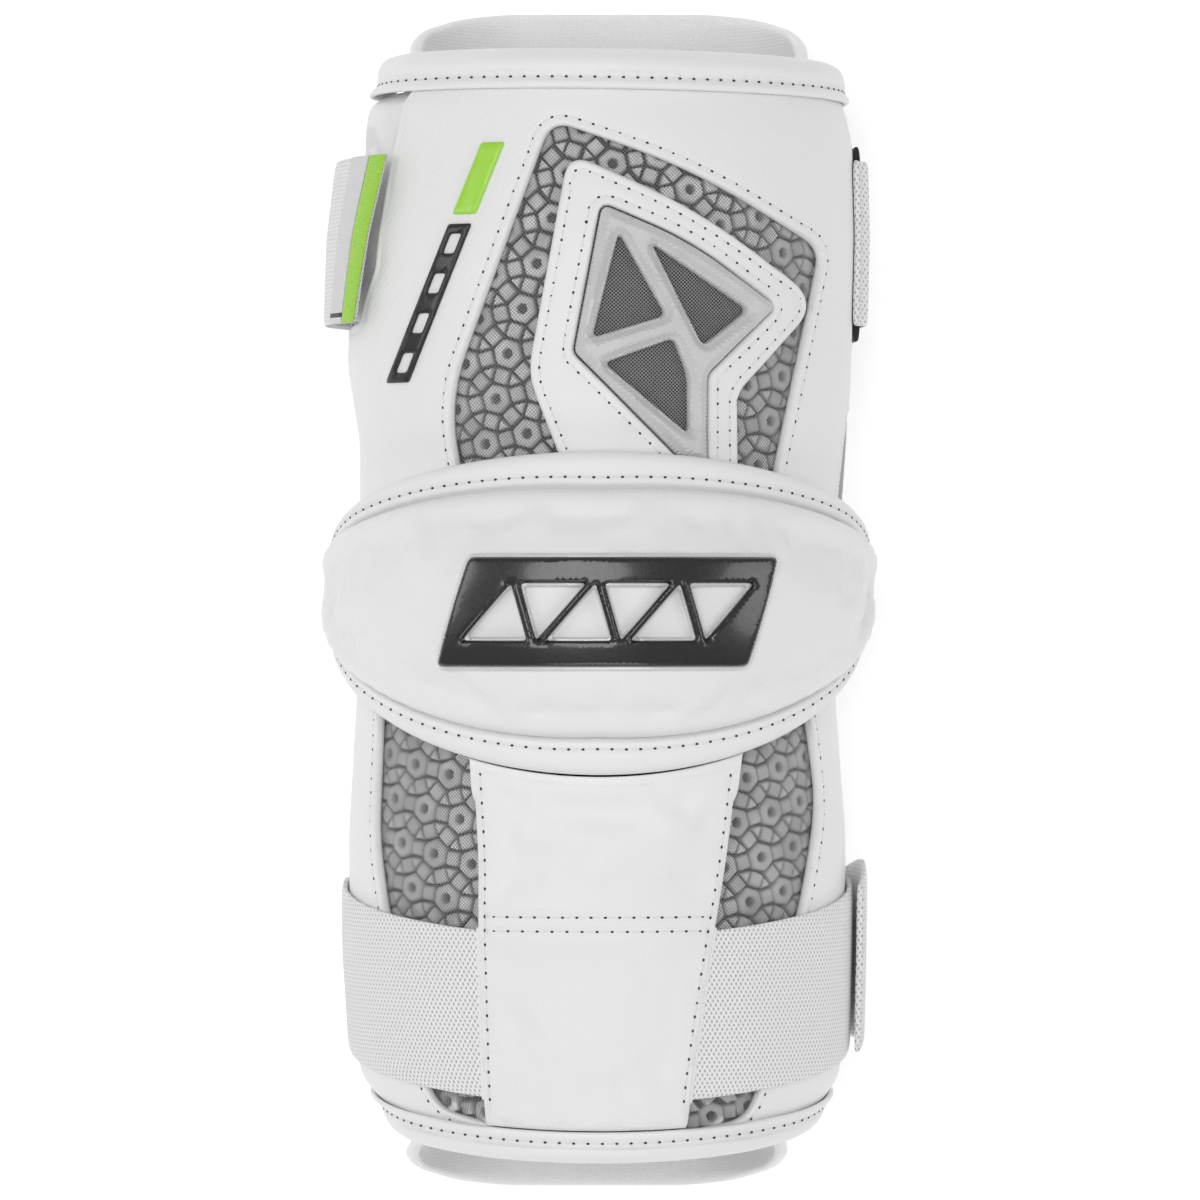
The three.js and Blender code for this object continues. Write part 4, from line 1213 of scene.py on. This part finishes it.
def make_wing():
    turn = np.pi * np.linspace(0, 1, 64)[:, None]
    across = 0.5 - 0.5 * np.cos(turn) * (1 - 0.15 * np.sin(turn) ** 2)
    along = eased(72)[None, :]
    ys = WING_LOW + (WING_HIGH - WING_LOW) * along + 0 * across
    edge = wing_angle(ys) - WING_GAP
    angles = WING_BACK + (edge - WING_BACK) * across
    high = CLEARANCE + WING_EDGE + (WING - WING_EDGE) * fullness(along) * fullness(across, 3.5)
    folds = np.sin(angles * 0.21 + ys * 0.16) * np.sin(ys * 0.075 + 1.0)
    high = high + WING_FOLD * folds * fullness(along) * fullness(across)
    made = sheet_of("side_flap", angles, ys, SEAT + 0 * high, high)
    sides = np.minimum((angles - WING_BACK) * AROUND, (edge - angles) * AROUND)
    stuffed(made, free_top(np.minimum(sides, np.minimum(ys - WING_LOW, WING_HIGH - ys))), 1.4)
    return made


flap = make_wing()
hand_over(flap, leather, "leather", "side_wing")

# The collars. A soft padded roll of leather closes the layers at each end of the front, with a
# flat flange that laps over the panels and is sewn down through all of them.
COLLAR_REACH = 96.0
ROLL_RISE = 2.6
TOP_ROLL, BOTTOM_ROLL = 7.6, 5.3
FLANGE = 3.2
FLANGE_THICKNESS = 1.8


def sweep_of(name, angles, section):
    """A closed tube round the arm. section gives the places and heights of its outline."""
    points, flat = [], []
    for angle in angles:
        ring = section(angle)
        points.append(on_arm(angle, ring[:, 0], ring[:, 1]))
        girth = np.cumsum(np.r_[0, np.hypot(*np.diff(ring, axis=0).T)])
        flat.append(on_map(angle, girth))
    count, faces = len(ring), []
    for a in range(0, (len(angles) - 1) * count, count):
        for j in range(count):
            k = (j + 1) % count
            faces.append((a + j, a + count + j, a + count + k, a + k))
    faces.append(range(count))
    faces.append(range(len(angles) * count - 1, (len(angles) - 1) * count - 1, -1))
    return piece_of(name, np.concatenate(points), faces, np.concatenate(flat))


def through(points, steps=5):
    """A smooth closed curve through points."""
    points = np.asarray(points, float)
    before, ahead, beyond = np.roll(points, 1, 0), np.roll(points, -1, 0), np.roll(points, -2, 0)
    made = []
    for t in np.linspace(0, 1, steps, endpoint=False):
        made.append(
            0.5 * (
                2 * points + (ahead - before) * t
                + (2 * before - 5 * points + 4 * ahead - beyond) * t**2
                + (3 * points - before - 3 * ahead + beyond) * t**3
            )
        )
    return np.stack(made, 1).reshape(-1, points.shape[1])


def collar(name, node, edge, way, roll):
    angles = np.linspace(-COLLAR_REACH, COLLAR_REACH, 260)

    def section(a):
        fade = 1 - 0.55 * smoothstep(abs(a), 50, COLLAR_REACH)
        end = 1 - 0.6 * smoothstep(abs(a), COLLAR_REACH - 4, COLLAR_REACH) ** 2
        on = float(on_leather(a))
        top = on + FLANGE_THICKNESS
        pucker = 0.14 * math.sin(a * AROUND * 2 * math.pi / STITCH_PITCH)
        crest = leather_top(a) + (ROLL_RISE + CLEARANCE) * fade + 0.25 * math.sin(a / 5.1)
        crest = max(top + 0.4, crest)
        corners = [
            (CLEARANCE, SEAT), (CLEARANCE, 0.6 * on), (CLEARANCE - 0.2, on), (-0.6 * FLANGE, on),
            (-FLANGE, on + 0.1), (-FLANGE - 0.05, on + 0.9), (-FLANGE + 0.5, top - 0.15),
            (-0.5 * FLANGE, top), (-0.3, top - 0.55 + pucker * 0.3), (0.75, top - 0.1 + pucker),
            (0.24 * roll, crest * 0.985), (0.45 * roll, crest), (0.72 * roll, crest * 0.93),
            (0.92 * roll, crest * 0.72), (roll, crest * 0.42), (roll - 0.1, SEAT + 0.3),
            (roll - 0.8, SEAT), (0.5 * roll, SEAT),
        ]
        heights = [SEAT + (h - SEAT) * end for _, h in corners]
        ring = through([(edge(a) + way * d, h) for (d, _), h in zip(corners, heights)], 4)
        return ring if way > 0 else ring[::-1]

    made = sweep_of(name, angles, section)
    hand_over(made, leather, "leather", node)
    turns = np.linspace(-COLLAR_REACH + 3, COLLAR_REACH - 3, 160)
    line = on_map(turns, edge(turns) - way * 0.35)
    sew(name, [line], lambda a, y: on_leather(a) + FLANGE_THICKNESS - 0.5)


collar("top_roll", "top_collar", top_edge, 1, TOP_ROLL)
collar("bottom_roll", "bottom_collar", bottom_edge, -1, BOTTOM_ROLL)

# The forearm's sides. Two leather panels wrap the forearm outside a pair of windows, over a
# second sheet of cell foam and net, and reach from under the cap to the bottom collar.
FOREARM_HIGH = -0.005 * HALF_LENGTH
UNDER_PANEL = 18.0  # on the flat map, where the cells and the net end under the centre panel
LEFT_WINDOW_EDGE = [
    (-0.972, -0.12, 0), (-0.985, -0.257, 8), (-0.999, -0.4, 20), (-0.955, -0.52, 8),
    (-0.8, -0.76, 8), (-0.735, -0.855, 6), (-0.464, -0.882, 0),
]
RIGHT_WINDOW_EDGE = [
    (0.89, -0.12, 0), (0.94, -0.23, 6), (0.98, -0.34, 20), (0.93, -0.465, 12),
    (0.72, -0.8, 8), (0.66, -0.873, 6), (0.354, -0.893, 0),
]
PANEL_OUTLINE = [
    (-0.55, -0.12, 0), (-0.543, -0.267, 0), (-0.521, -0.442, 30), (-0.525, -0.542, 20),
    (-0.504, -0.832, 10), (-0.464, -0.95, 0), (0.353, -0.95, 0), (0.389, -0.844, 10),
    (0.451, -0.657, 20), (0.548, -0.418, 30), (0.592, -0.258, 0), (0.6, -0.12, 0),
]


def make_side(name, node, table, way):
    edge = laid(table, closed=False)
    edge = edge[edge[:, 1] < FOREARM_HIGH]
    low = np.linspace(edge[-1, 0] / AROUND, way * WRAP, 60)
    corner = np.array([[way * WRAP * AROUND, FOREARM_HIGH]])
    parts = [edge, on_map(low, bottom_edge(low)), corner, edge[:1] + [[way * 0.5, 0]]]
    loop = resampled(np.concatenate(parts), LOOP_STEP)
    side = cut_piece(name, [loop], on_foam, leather_height)
    hand_over(side, leather, "leather", node)
    return edge


def beside(line, distance):
    """A line beside another, on its left where the distance is more than 0."""
    ahead = np.gradient(line, axis=0)
    ahead /= np.linalg.norm(ahead, axis=1, keepdims=True)
    return line + np.stack([-ahead[:, 1], ahead[:, 0]], -1) * distance


left_edge = make_side("left_side_leather", "forearm_side_left", LEFT_WINDOW_EDGE, -1)
right_edge = make_side("right_side_leather", "forearm_side_right", RIGHT_WINDOW_EDGE, 1)
left_row, right_row = beside(left_edge, -STITCH_IN), beside(right_edge, STITCH_IN)
sew("forearm_sides", [left_row, right_row], stitch_height)

around = np.linspace(-WRAP, WRAP, 90)
forearm_loop = np.concatenate([
    on_map(around, bottom_edge(around)),
    [[WRAP * AROUND, FOREARM_HIGH], [-WRAP * AROUND, FOREARM_HIGH]],
])
forearm_loop = inset(resampled(forearm_loop, LOOP_STEP), UNDER_EDGE)
foam_sheet("forearm_foam_sheet", forearm_loop, "forearm_foam")
for side, edge, way in (("left", left_edge, -1), ("right", right_edge, 1)):
    inner = [(way * UNDER_PANEL, edge[-1, 1]), (way * UNDER_PANEL, edge[0, 1])]
    opening = resampled(np.concatenate([edge, inner]), LOOP_STEP)
    cell_field(f"forearm_{side}_cells", opening, math.radians(CELL_TURN * way))
    make_net(f"forearm_{side}_net", opening, pale_net, 0, "forearm_foam_sheet")

# The forearm strap. White elastic webbing, 44 millimetres wide, with slanting rows of woven
# dots. It goes round the forearm through the centre panel, and its end folds back at the right.
STRAP = 1.8
STRAP_WIDTH = 44.0
STRAP_TOP = -0.5 * HALF_LENGTH + 3.5
STRAP_DIP = 13.0
END_MARGIN, END_STAND = 5.0, 1.8


def strap_top(angle):
    return STRAP_TOP - STRAP_DIP * np.maximum(0, np.cos(np.radians(angle)))


def strap_low(angle):
    lift = np.interp(np.abs(angle), [0, 120, 135, FLAT, 180], [1, 1, 0.25, 0, 0])
    over = on_leather(np.minimum(np.abs(angle), WRAP))
    return CLEARANCE + (over - CLEARANCE) * lift


def webbing_finish():
    material, shader, start, place = finish_of(
        "white_webbing", 0.75, Sheen_Weight=0.2, Sheen_Roughness=0.4
    )
    u, v = flat_places(start)
    dots = wave(u * 0.92 + v * 0.66, 1.25) * wave(u * 0.92 - v * 0.5, 1.25)
    holes = ((dots - 0.35) * 2.2).clipped()
    relief = bump(wave(u, 0.5) * 0.2 - holes, 0.25, bump(noise(place, 20), 0.6))
    paint(shader, Base_Color=holes.mixed(grey(0.88), grey(0.56)), Normal=relief)
    return material


def soft_sides(share):
    """A band's thickness, as a share, which falls off at its two edges."""
    return np.sqrt(np.clip(1 - np.abs(2 * share - 1) ** 14, 0, 1)) * 0.7 + 0.3


def band(name, angles, y0, y1, low, ring=False):
    """A flat band with soft edges, between two edges that are functions of the angle."""
    share = eased(26)[None, :]
    angles = angles[:, None]
    ys = y0(angles) + (y1(angles) - y0(angles)) * share
    middle = low(angles) + 0 * ys + STRAP / 2
    half = soft_sides(share) * STRAP / 2
    return sheet_of(name, angles + 0 * ys, ys, middle - half, middle + half, ring)


webbing = webbing_finish()
strap = band(
    "forearm_webbing", np.linspace(-180, 180, 241)[:-1],
    lambda a: strap_top(a) - STRAP_WIDTH, strap_top, strap_low, ring=True,
)
hand_over(strap, webbing, "webbing", "forearm_strap")
cloth(strap, "stretched", "left_side_leather", "right_side_leather")


def end_low(angle):
    return strap_low(angle) + STRAP + CLEARANCE + END_STAND * hump(angle, 88, 16)


strap_end = band(
    "folded_end", np.linspace(78, 122, 50),
    lambda a: strap_top(a) - STRAP_WIDTH + 1,
    lambda a: strap_top(a) + END_MARGIN * hump(a, 92, 14),
    end_low,
)
hand_over(strap_end, webbing, "webbing", "forearm_strap_end")
cloth(strap_end, "folded", strap)

# The centre panel. A padded leather panel down the middle of the forearm, sewn along both
# sides and across the strap that runs through it.
PANEL, PANEL_CROWN, PANEL_STITCH = 7.2, 0.9, 2.65
CAP_BOTTOM, CAP_BOTTOM_BEND = -45.3, 23.0
CHANNEL_ROWS = (-82.4, -86.1)


def cap_bottom(angle):
    return CAP_BOTTOM + CAP_BOTTOM_BEND * (angle / CAP_BEND_AT) ** 2


def clipped_loop(loop, low, high):
    """A loop kept between a lower and an upper edge that are functions of the angle."""
    angle = loop[:, 0] / AROUND
    ys = np.clip(loop[:, 1], low(angle), high(angle))
    return resampled(np.stack([loop[:, 0], ys], -1), 1.0)


def panel_height(distance, angle, y):
    crown = PANEL_CROWN * (1 - hump(distance, 0, 9))
    channels = sum(0.5 * hump(y, row, 0.8) for row in CHANNEL_ROWS) * smoothstep(distance, 1, 3)
    soft = 0.25 * np.sin(y / 7.3 + angle / 9) * smoothstep(distance, 3, 9)
    tucked = 1.2 * smoothstep(y, -54, -48)  # the edge that meets the cap's border stays full
    edge = turned_edge(np.maximum(distance, tucked), PANEL - PANEL_CROWN, 2.2)
    return leather_low(angle) + edge + sewn(distance, PANEL_STITCH, 0.5) + crown + soft - channels


def panel_low(distance, angle, y):
    in_strap = (y < strap_top(angle) + 0.8) & (y > strap_top(angle) - STRAP_WIDTH - 0.8)
    over = strap_low(angle) + STRAP + CLEARANCE
    return np.where(in_strap, over, leather_low(angle))


panel_loop = clipped_loop(
    laid(PANEL_OUTLINE),
    lambda a: bottom_edge(a) + FLANGE + CLEARANCE,
    lambda a: cap_bottom(a) - SEAT,
)
channel_points = [row + step for row in CHANNEL_ROWS for step in (-1.4, -0.7, 0, 0.7, 1.4)]
panel = cut_piece(
    "centre_panel", [panel_loop], panel_low, panel_height, spacing=2.2, rows=channel_points
)
angle_of, y_of = map_of(panel)
away = edge_distance(on_map(angle_of, y_of), [panel_loop])
for row in CHANNEL_ROWS:
    away = np.minimum(away, np.abs(y_of - row))
stuffed(panel, free_top(away[len(away) // 2 :]), 1.2)
hand_over(panel, leather, "leather", "forearm_panel")


def on_panel(angle, y):
    return panel_height(edge_distance(on_map(angle, y), [panel_loop]), angle, y)


def panel_side(way):
    """The row of stitches inside one long side of the panel."""
    row = inset(panel_loop, PANEL_STITCH)
    row = row[(row[:, 0] * way > 17 * AROUND) & (row[:, 1] < -47) & (row[:, 1] > -133)]
    return row[np.argsort(row[:, 1])]


def across_panel(y):
    row = on_map(np.linspace(-40, 40, 200), float(y))
    return row[inside(row, [panel_loop]) & (edge_distance(row, [panel_loop]) > 2.9)]


rows = [panel_side(-1), panel_side(1), *(across_panel(y) for y in CHANNEL_ROWS)]
sew("centre_panel", rows, on_panel)

# The elbow cap. A padded leather cup over the elbow, a flat border sewn to a tall dome along
# an upper and a lower seam that meet at its two tips.
CAP_REACH = 93.0
CAP_BORDER = 9.6
CAP_THICKNESS, CAP_BASE = 7.5, 4.5
DOME_RISE, DOME_EDGE, DOME_REACH = 14.5, 2.6, 88.0
TIP_SHARE, TIP_CUT = 0.5, 3.0
BORDER_ROUND = 2.5
CAP_STITCH = 2.8


def border(angle):
    return CAP_BORDER * (1 + (TIP_SHARE - 1) * np.abs(angle) / CAP_REACH)


def cap_seat(angle):
    return leather_top(angle) + SEAT


def seams(angle):
    return cap_bottom(angle) + border(angle), cap_top(angle) - border(angle)


def dome_top(angle, y):
    low, high = seams(angle)
    across = np.clip((2 * y - low - high) / np.maximum(high - low, 0.1), -1, 1)
    round_it = np.clip(angle / DOME_REACH, -1, 1)
    swell = (1 - np.abs(across) ** 2.6) ** 0.6 * (1 - np.abs(round_it) ** 2.2) ** 0.8
    return cap_seat(angle) + CAP_BASE + CLEARANCE + DOME_EDGE + (DOME_RISE - DOME_EDGE) * swell


def border_height(distance, angle):
    """The border's face, from its outer edge in to the seam."""
    wide = border(angle)
    outer = np.sqrt(np.clip(1 - (1 - np.clip(distance / BORDER_ROUND, 0, 1)) ** 2, 0, 1))
    crown = 0.7 * np.sin(np.pi * np.clip(distance / wide, 0, 1))
    groove = 0.55 * hump(wide - distance, CAP_STITCH, 0.7)
    seam = 1.6 * hump(distance, wide, 0.7)
    return CAP_THICKNESS - 0.6 - BORDER_ROUND * (1 - outer) + crown - groove - seam


def closer_to_tips(count, power, reach):
    """A column of angles to both sides, closer together towards the cap's tips."""
    share = np.linspace(-1, 1, count)
    return (np.sign(share) * (1 - (1 - np.abs(share)) ** power) * reach)[:, None]


def make_cap_base():
    angles = closer_to_tips(190, 1.25, CAP_REACH)
    cut = TIP_CUT * smoothstep(np.abs(angles), CAP_REACH - 4, CAP_REACH)
    y0, y1 = cap_bottom(angles) + cut, cap_top(angles) - cut
    s0, s1 = np.maximum(y0 + 0.4, seams(angles)[0]), np.minimum(y1 - 0.4, seams(angles)[1])
    s0, s1 = np.minimum(s0, (y0 + y1) / 2 - 0.1), np.maximum(s1, (y0 + y1) / 2 + 0.1)
    outer = np.concatenate([[0, 0.02, 0.06, 0.12, 0.2], np.linspace(0.28, 1, 14)])[None, :]
    lower = y0 + (s0 - y0) * outer
    upper = (y1 + (s1 - y1) * outer)[:, ::-1]
    inner = s0 + (s1 - s0) * np.linspace(0.04, 0.96, 9)[None, :]
    ys = np.concatenate([lower, inner, upper], 1)
    lip = border_height(outer * border(angles), angles)
    ends = smoothstep(np.abs(angles), DOME_REACH - 3, DOME_REACH)
    under = CAP_BASE + (CAP_THICKNESS - CAP_BASE) * ends + 0 * inner
    high = cap_seat(angles) + np.concatenate([lip, under, lip[:, ::-1]], 1)
    turned = angles + 0 * ys
    return sheet_of("cap_border", turned, ys, cap_seat(turned), high)


def make_dome():
    reach = DOME_REACH - 1.5
    angles = closer_to_tips(200, 1.3, reach)
    low, high = seams(angles)
    ys = low + 0.25 + (high - low - 0.5) * eased(72)[None, :]
    edge = np.minimum(ys - low, high - ys)
    top = dome_top(angles, ys) - 1.7 * hump(edge, 0, 0.9)
    pucker = 0.22 * np.sin(angles * 1.35 + 0.6 * np.sin(angles * 0.4)) * hump(edge, 0, 5.0)
    turned = angles + 0 * ys
    floor = cap_seat(turned) + CAP_BASE + CLEARANCE
    made = sheet_of("cap_cushion", turned, ys, floor, np.maximum(top + pucker, floor + 0.5))
    stuffed(made, free_top(np.minimum(edge, (reach - np.abs(turned)) * AROUND)), 2.6)
    return made


cap_base = make_cap_base()
hand_over(cap_base, leather, "leather", "cap_base")
cap_dome = make_dome()
hand_over(cap_dome, leather, "leather", "cap_dome")
turns = np.linspace(-82, 82, 200)
cap_rows = [
    on_map(turns, seams(turns)[0] - CAP_STITCH), on_map(turns, seams(turns)[1] + CAP_STITCH),
]
sew("elbow_cap", cap_rows, lambda a, y: cap_seat(a) + CAP_THICKNESS - 0.5)

# The badge. A raised glossy black lattice of two rails and slanting struts, on a thin silver
# plate a little larger than it, moulded in plastic and bonded to the dome.
BADGE_OUTLINE = [
    (-0.72, -0.11, 1.5), (-0.575, 0.071, 1.5), (0.787, 0.071, 1.5), (0.65, -0.11, 1.5),
]
BADGE, BADGE_PLATE, BADGE_EDGE = 1.4, 0.6, 1.0
BADGE_RAIL, BADGE_OPENINGS = 0.24, 6
BADGE_END, BADGE_HALF = 0.03, 0.78  # the rails' margin at the ends, and an opening's half width
BADGE_HEIGHT = 22  # above the cap's seat, where its outline is laid as seen from the front


def badge_place(along, up):
    p, q, r, s = (np.array(corner[:2]) for corner in BADGE_OUTLINE)
    return (1 - up) * ((1 - along) * p + along * s) + up * ((1 - along) * q + along * r)


def badge_level(angle):
    return cap_seat(angle) + BADGE_HEIGHT


def badge_loops(inset_by, grown):
    low, high = BADGE_RAIL + inset_by, 1 - BADGE_RAIL - inset_by
    step = (1 - 2 * BADGE_END) / (BADGE_OPENINGS + 1)
    half = (BADGE_HALF - 2.5 * inset_by) * step
    outer = laid(BADGE_OUTLINE, badge_level, 0.7)
    loops = [resampled(inset(outer, grown, -1), 0.7) if grown else outer]
    for i in range(BADGE_OPENINGS):
        middle = BADGE_END + step * (i + 1)
        base, tip = (high, low) if i % 2 else (low, high)
        corners = [(middle - half, base), (middle, tip), (middle + half, base)]
        table = [(*badge_place(*corner), 1.0) for corner in corners]
        loops.append(laid(table, badge_level, 0.7))
    return loops


def badge_piece(name, loops, low, high, round_off):
    return cut_piece(
        name, loops, lambda d, a, y: dome_top(a, y) + low,
        lambda d, a, y: dome_top(a, y) + low + turned_edge(d, high - low, round_off),
        rings=(0.12, 0.35, 0.7, 1.0), spacing=0.9,
    )


silver = plastic_finish(
    "silver_plastic", 0.35, (grey(0.66), grey(0.8)), (5, 1.0, 0.6), (0.28, 0.18), 0.02, Metallic=0.3
)
gloss = plastic_finish(
    "black_gloss", 0.25, (grey(0.006), grey(0.013)), (6, 1.5, 0.9), (0.2, 0.16), 0.03,
    Coat_Weight=0.6, Coat_Roughness=0.12,
)
plate = badge_piece("badge_plate", badge_loops(0.03, BADGE_EDGE), 0.1, SEAT + BADGE_PLATE, 0.4)
hand_over(plate, silver, "badge_silver", "badge_outline")
lattice = badge_piece(
    "badge_lattice", badge_loops(0.0, 0.0), SEAT + BADGE_PLATE + 0.05,
    SEAT + BADGE_PLATE + CLEARANCE + BADGE, 0.8,
)
hand_over(lattice, gloss, "badge_black", "cap_badge")

# The upper strap. The same webbing runs from a black loop patch at the right, round the back
# of the upper arm, to the pull tab at the left.
UPPER_STRAP_MIDDLE = 0.61 * HALF_LENGTH
UPPER_EDGES = (UPPER_STRAP_MIDDLE - STRAP_WIDTH / 2, UPPER_STRAP_MIDDLE + STRAP_WIDTH / 2)
PATCH_MARGIN = 4.0
WING_TOP = SEAT + WING + CLEARANCE


def loop_low(angle):
    return on_leather(np.minimum(np.abs(angle), WRAP))


def tape_finish():
    material, shader, start, place = finish_of("black_loops", 0.95, Sheen_Weight=0.3)
    fuzz = noise(place, 0.9, 5)
    paint(shader, Base_Color=fuzz.mixed(grey(0.006), grey(0.045)), Normal=bump(fuzz, 0.35))
    return material


def level(y):
    return lambda a: y + 0 * a


loop_patch = band(
    "black_loop_tape", np.linspace(86, 114, 40), level(UPPER_EDGES[0] - PATCH_MARGIN),
    level(UPPER_EDGES[1] + PATCH_MARGIN), loop_low,
)
hand_over(loop_patch, tape_finish(), "loop_tape", "loop_patch")
cloth(loop_patch, "laid", "upper_panel")

ON_PATCH = float(on_leather(WRAP)) + STRAP + CLEARANCE
BEHIND = np.array([
    # angle on from the right side round the back, height of the strap's inner face
    (114, ON_PATCH), (120, ON_PATCH), (135, 1.2), (FLAT, CLEARANCE), (210, CLEARANCE),
    (225, 1.2), (240, WING_TOP), (256, WING_TOP),
])


def upper_strap_low(angle):
    near = loop_low(angle) + (STRAP + CLEARANCE) * smoothstep(angle, 83.2, 85.8)
    return np.where(angle < 114, near, np.interp(angle, BEHIND[:, 0], BEHIND[:, 1]))


upper_strap = band(
    "upper_webbing", np.linspace(79, 256, 300), level(UPPER_EDGES[0]), level(UPPER_EDGES[1]),
    upper_strap_low,
)
hand_over(upper_strap, webbing, "webbing", "upper_strap")
cloth(upper_strap, "stretched", loop_patch, flap)

# The pull tab. The strap's free end, a doubled piece of webbing that stands off the flap, with
# a woven white label and a green stripe sewn across it.
TAB_FROM, TAB_TO, TAB_SLANT, TAB_STAND = -116.0, -59.0, 8.5, 1.6
LABEL = 0.75
LABEL_SHARE, STRIPE_SHARE, STRIPE_END = 0.775, 0.91, 1.016  # of the tab's length


def tab_low(angle):
    rise = np.interp(angle, [TAB_FROM, -105, -90, TAB_TO], [0, 0, TAB_STAND, 0.8 * TAB_STAND])
    return WING_TOP + STRAP + SEAT + rise


def tab_piece(name, start, end, low, thickness, columns):
    share = np.linspace(start, end, columns)[:, None]
    rows = eased(24)[None, :]
    ys = UPPER_EDGES[0] + STRAP_WIDTH * rows + 0 * share
    free = TAB_TO + TAB_SLANT * (ys - UPPER_STRAP_MIDDLE) / STRAP_WIDTH
    angles = TAB_FROM + (free - TAB_FROM) * share
    ends = np.clip(np.minimum(share - start, end - share) / 0.02, 0, 1) * 0.6 + 0.4
    middle = low(angles) + thickness / 2
    half = thickness / 2 * soft_sides(rows) * ends
    return sheet_of(name, angles, ys, middle - half, middle + half)


def label_finish():
    material, shader, start, place = finish_of("woven_label", 0.55, Sheen_Weight=0.15)
    u, v = flat_places(start)
    weave = wave(u, 0.4) * wave(v, 0.5)
    foot = UPPER_EDGES[0] * MM
    line = (v > foot + 0.0016) * ((v > foot + 0.0028) * -1.0 + 1.0)
    tone = (line * -1.0 + 1.0) * (weave * 0.25 + 0.75)
    paint(shader, Base_Color=tone.mixed(grey(0.02), grey(0.86)), Normal=bump(weave, 0.08))
    return material


def stripe_finish():
    material, shader, start, place = finish_of("green_ribbon", 0.6, Sheen_Weight=0.2)
    u, v = flat_places(start)
    ribs = wave(v, 0.6)
    tone = ribs * 0.6 + noise(place, 3) * 0.4
    green = tone.mixed((0.3, 0.62, 0.04, 1), (0.42, 0.78, 0.06, 1))
    paint(shader, Base_Color=green, Normal=bump(ribs, 0.12))
    return material


def on_tab(angle):
    return tab_low(angle) + STRAP + 0.05


tab = tab_piece("tab_webbing", 0, 1, tab_low, STRAP, 60)
hand_over(tab, webbing, "webbing", "pull_tab")
label = tab_piece("white_label", LABEL_SHARE, STRIPE_SHARE, on_tab, LABEL, 24)
hand_over(label, label_finish(), "label_cloth", "tab_label")
stripe = tab_piece("green_stripe", STRIPE_SHARE + 0.005, STRIPE_END, on_tab, LABEL, 24)
hand_over(stripe, stripe_finish(), "green_print", "tab_stripe")

# The setting. The three blocks that the cells were copied from go. Then come a plain pale floor
# under the pad, soft studio light from above and all round, and a camera straight over the elbow.
for block in (HEXAGON, SQUARE, TRIANGLE):
    bpy.data.objects.remove(block)


FLOOR = 3000


def make_floor():
    corners = [(-FLOOR, -FLOOR, 0), (FLOOR, -FLOOR, 0), (FLOOR, FLOOR, 0), (-FLOOR, FLOOR, 0)]
    floor = piece_of("floor", corners, [(0, 1, 2, 3)])
    material, shader, start, place = finish_of(
        "pale_floor", 0.9, Emission_Color=grey(1.0), Emission_Strength=0.32
    )
    paint(shader, Base_Color=noise(place, 400).mixed(grey(0.9), grey(0.92)))
    floor.data.materials.append(material)


LIT_POINT = Vector((0, 0, 0.04))


def soft_light(name, at, size, power):
    light = bpy.data.lights.new(name, "AREA")
    light.shape, light.size, light.energy = "DISK", size, power
    lamp = placed(name, light)
    lamp.location = at
    lamp.rotation_euler = (LIT_POINT - Vector(at)).to_track_quat("-Z", "Y").to_euler()


make_floor()
LIGHTS = [
    # name, place, size and power, in metres and watts
    ("above", (-0.3, 0.25, 2.3), 1.4, 17.5),
    ("left", (-1.8, 0.3, 1.3), 1.0, 7.0),
    ("right", (1.8, 0.1, 1.3), 1.0, 6.5),
    ("foot", (0.1, -1.8, 1.4), 1.2, 7.5),
]
for light in LIGHTS:
    soft_light(*light)
world = bpy.data.worlds.new("studio")
world.use_nodes = True
sky = world.node_tree.nodes["Background"].inputs
sky["Color"].default_value, sky["Strength"].default_value = (1, 1, 1, 1), 0.38
bpy.context.scene.world = world
bpy.context.scene.view_settings.view_transform = "Standard"

LENS, SENSOR, FRAME, FOCUS_HEIGHT = 200.0, 36.0, 0.318, 0.06
eye = bpy.data.cameras.new("camera")
eye.lens, eye.sensor_width = LENS, SENSOR
camera = placed("camera", eye)
camera.location = (0, 0, FOCUS_HEIGHT + FRAME * LENS / SENSOR)
bpy.context.scene.camera = camera
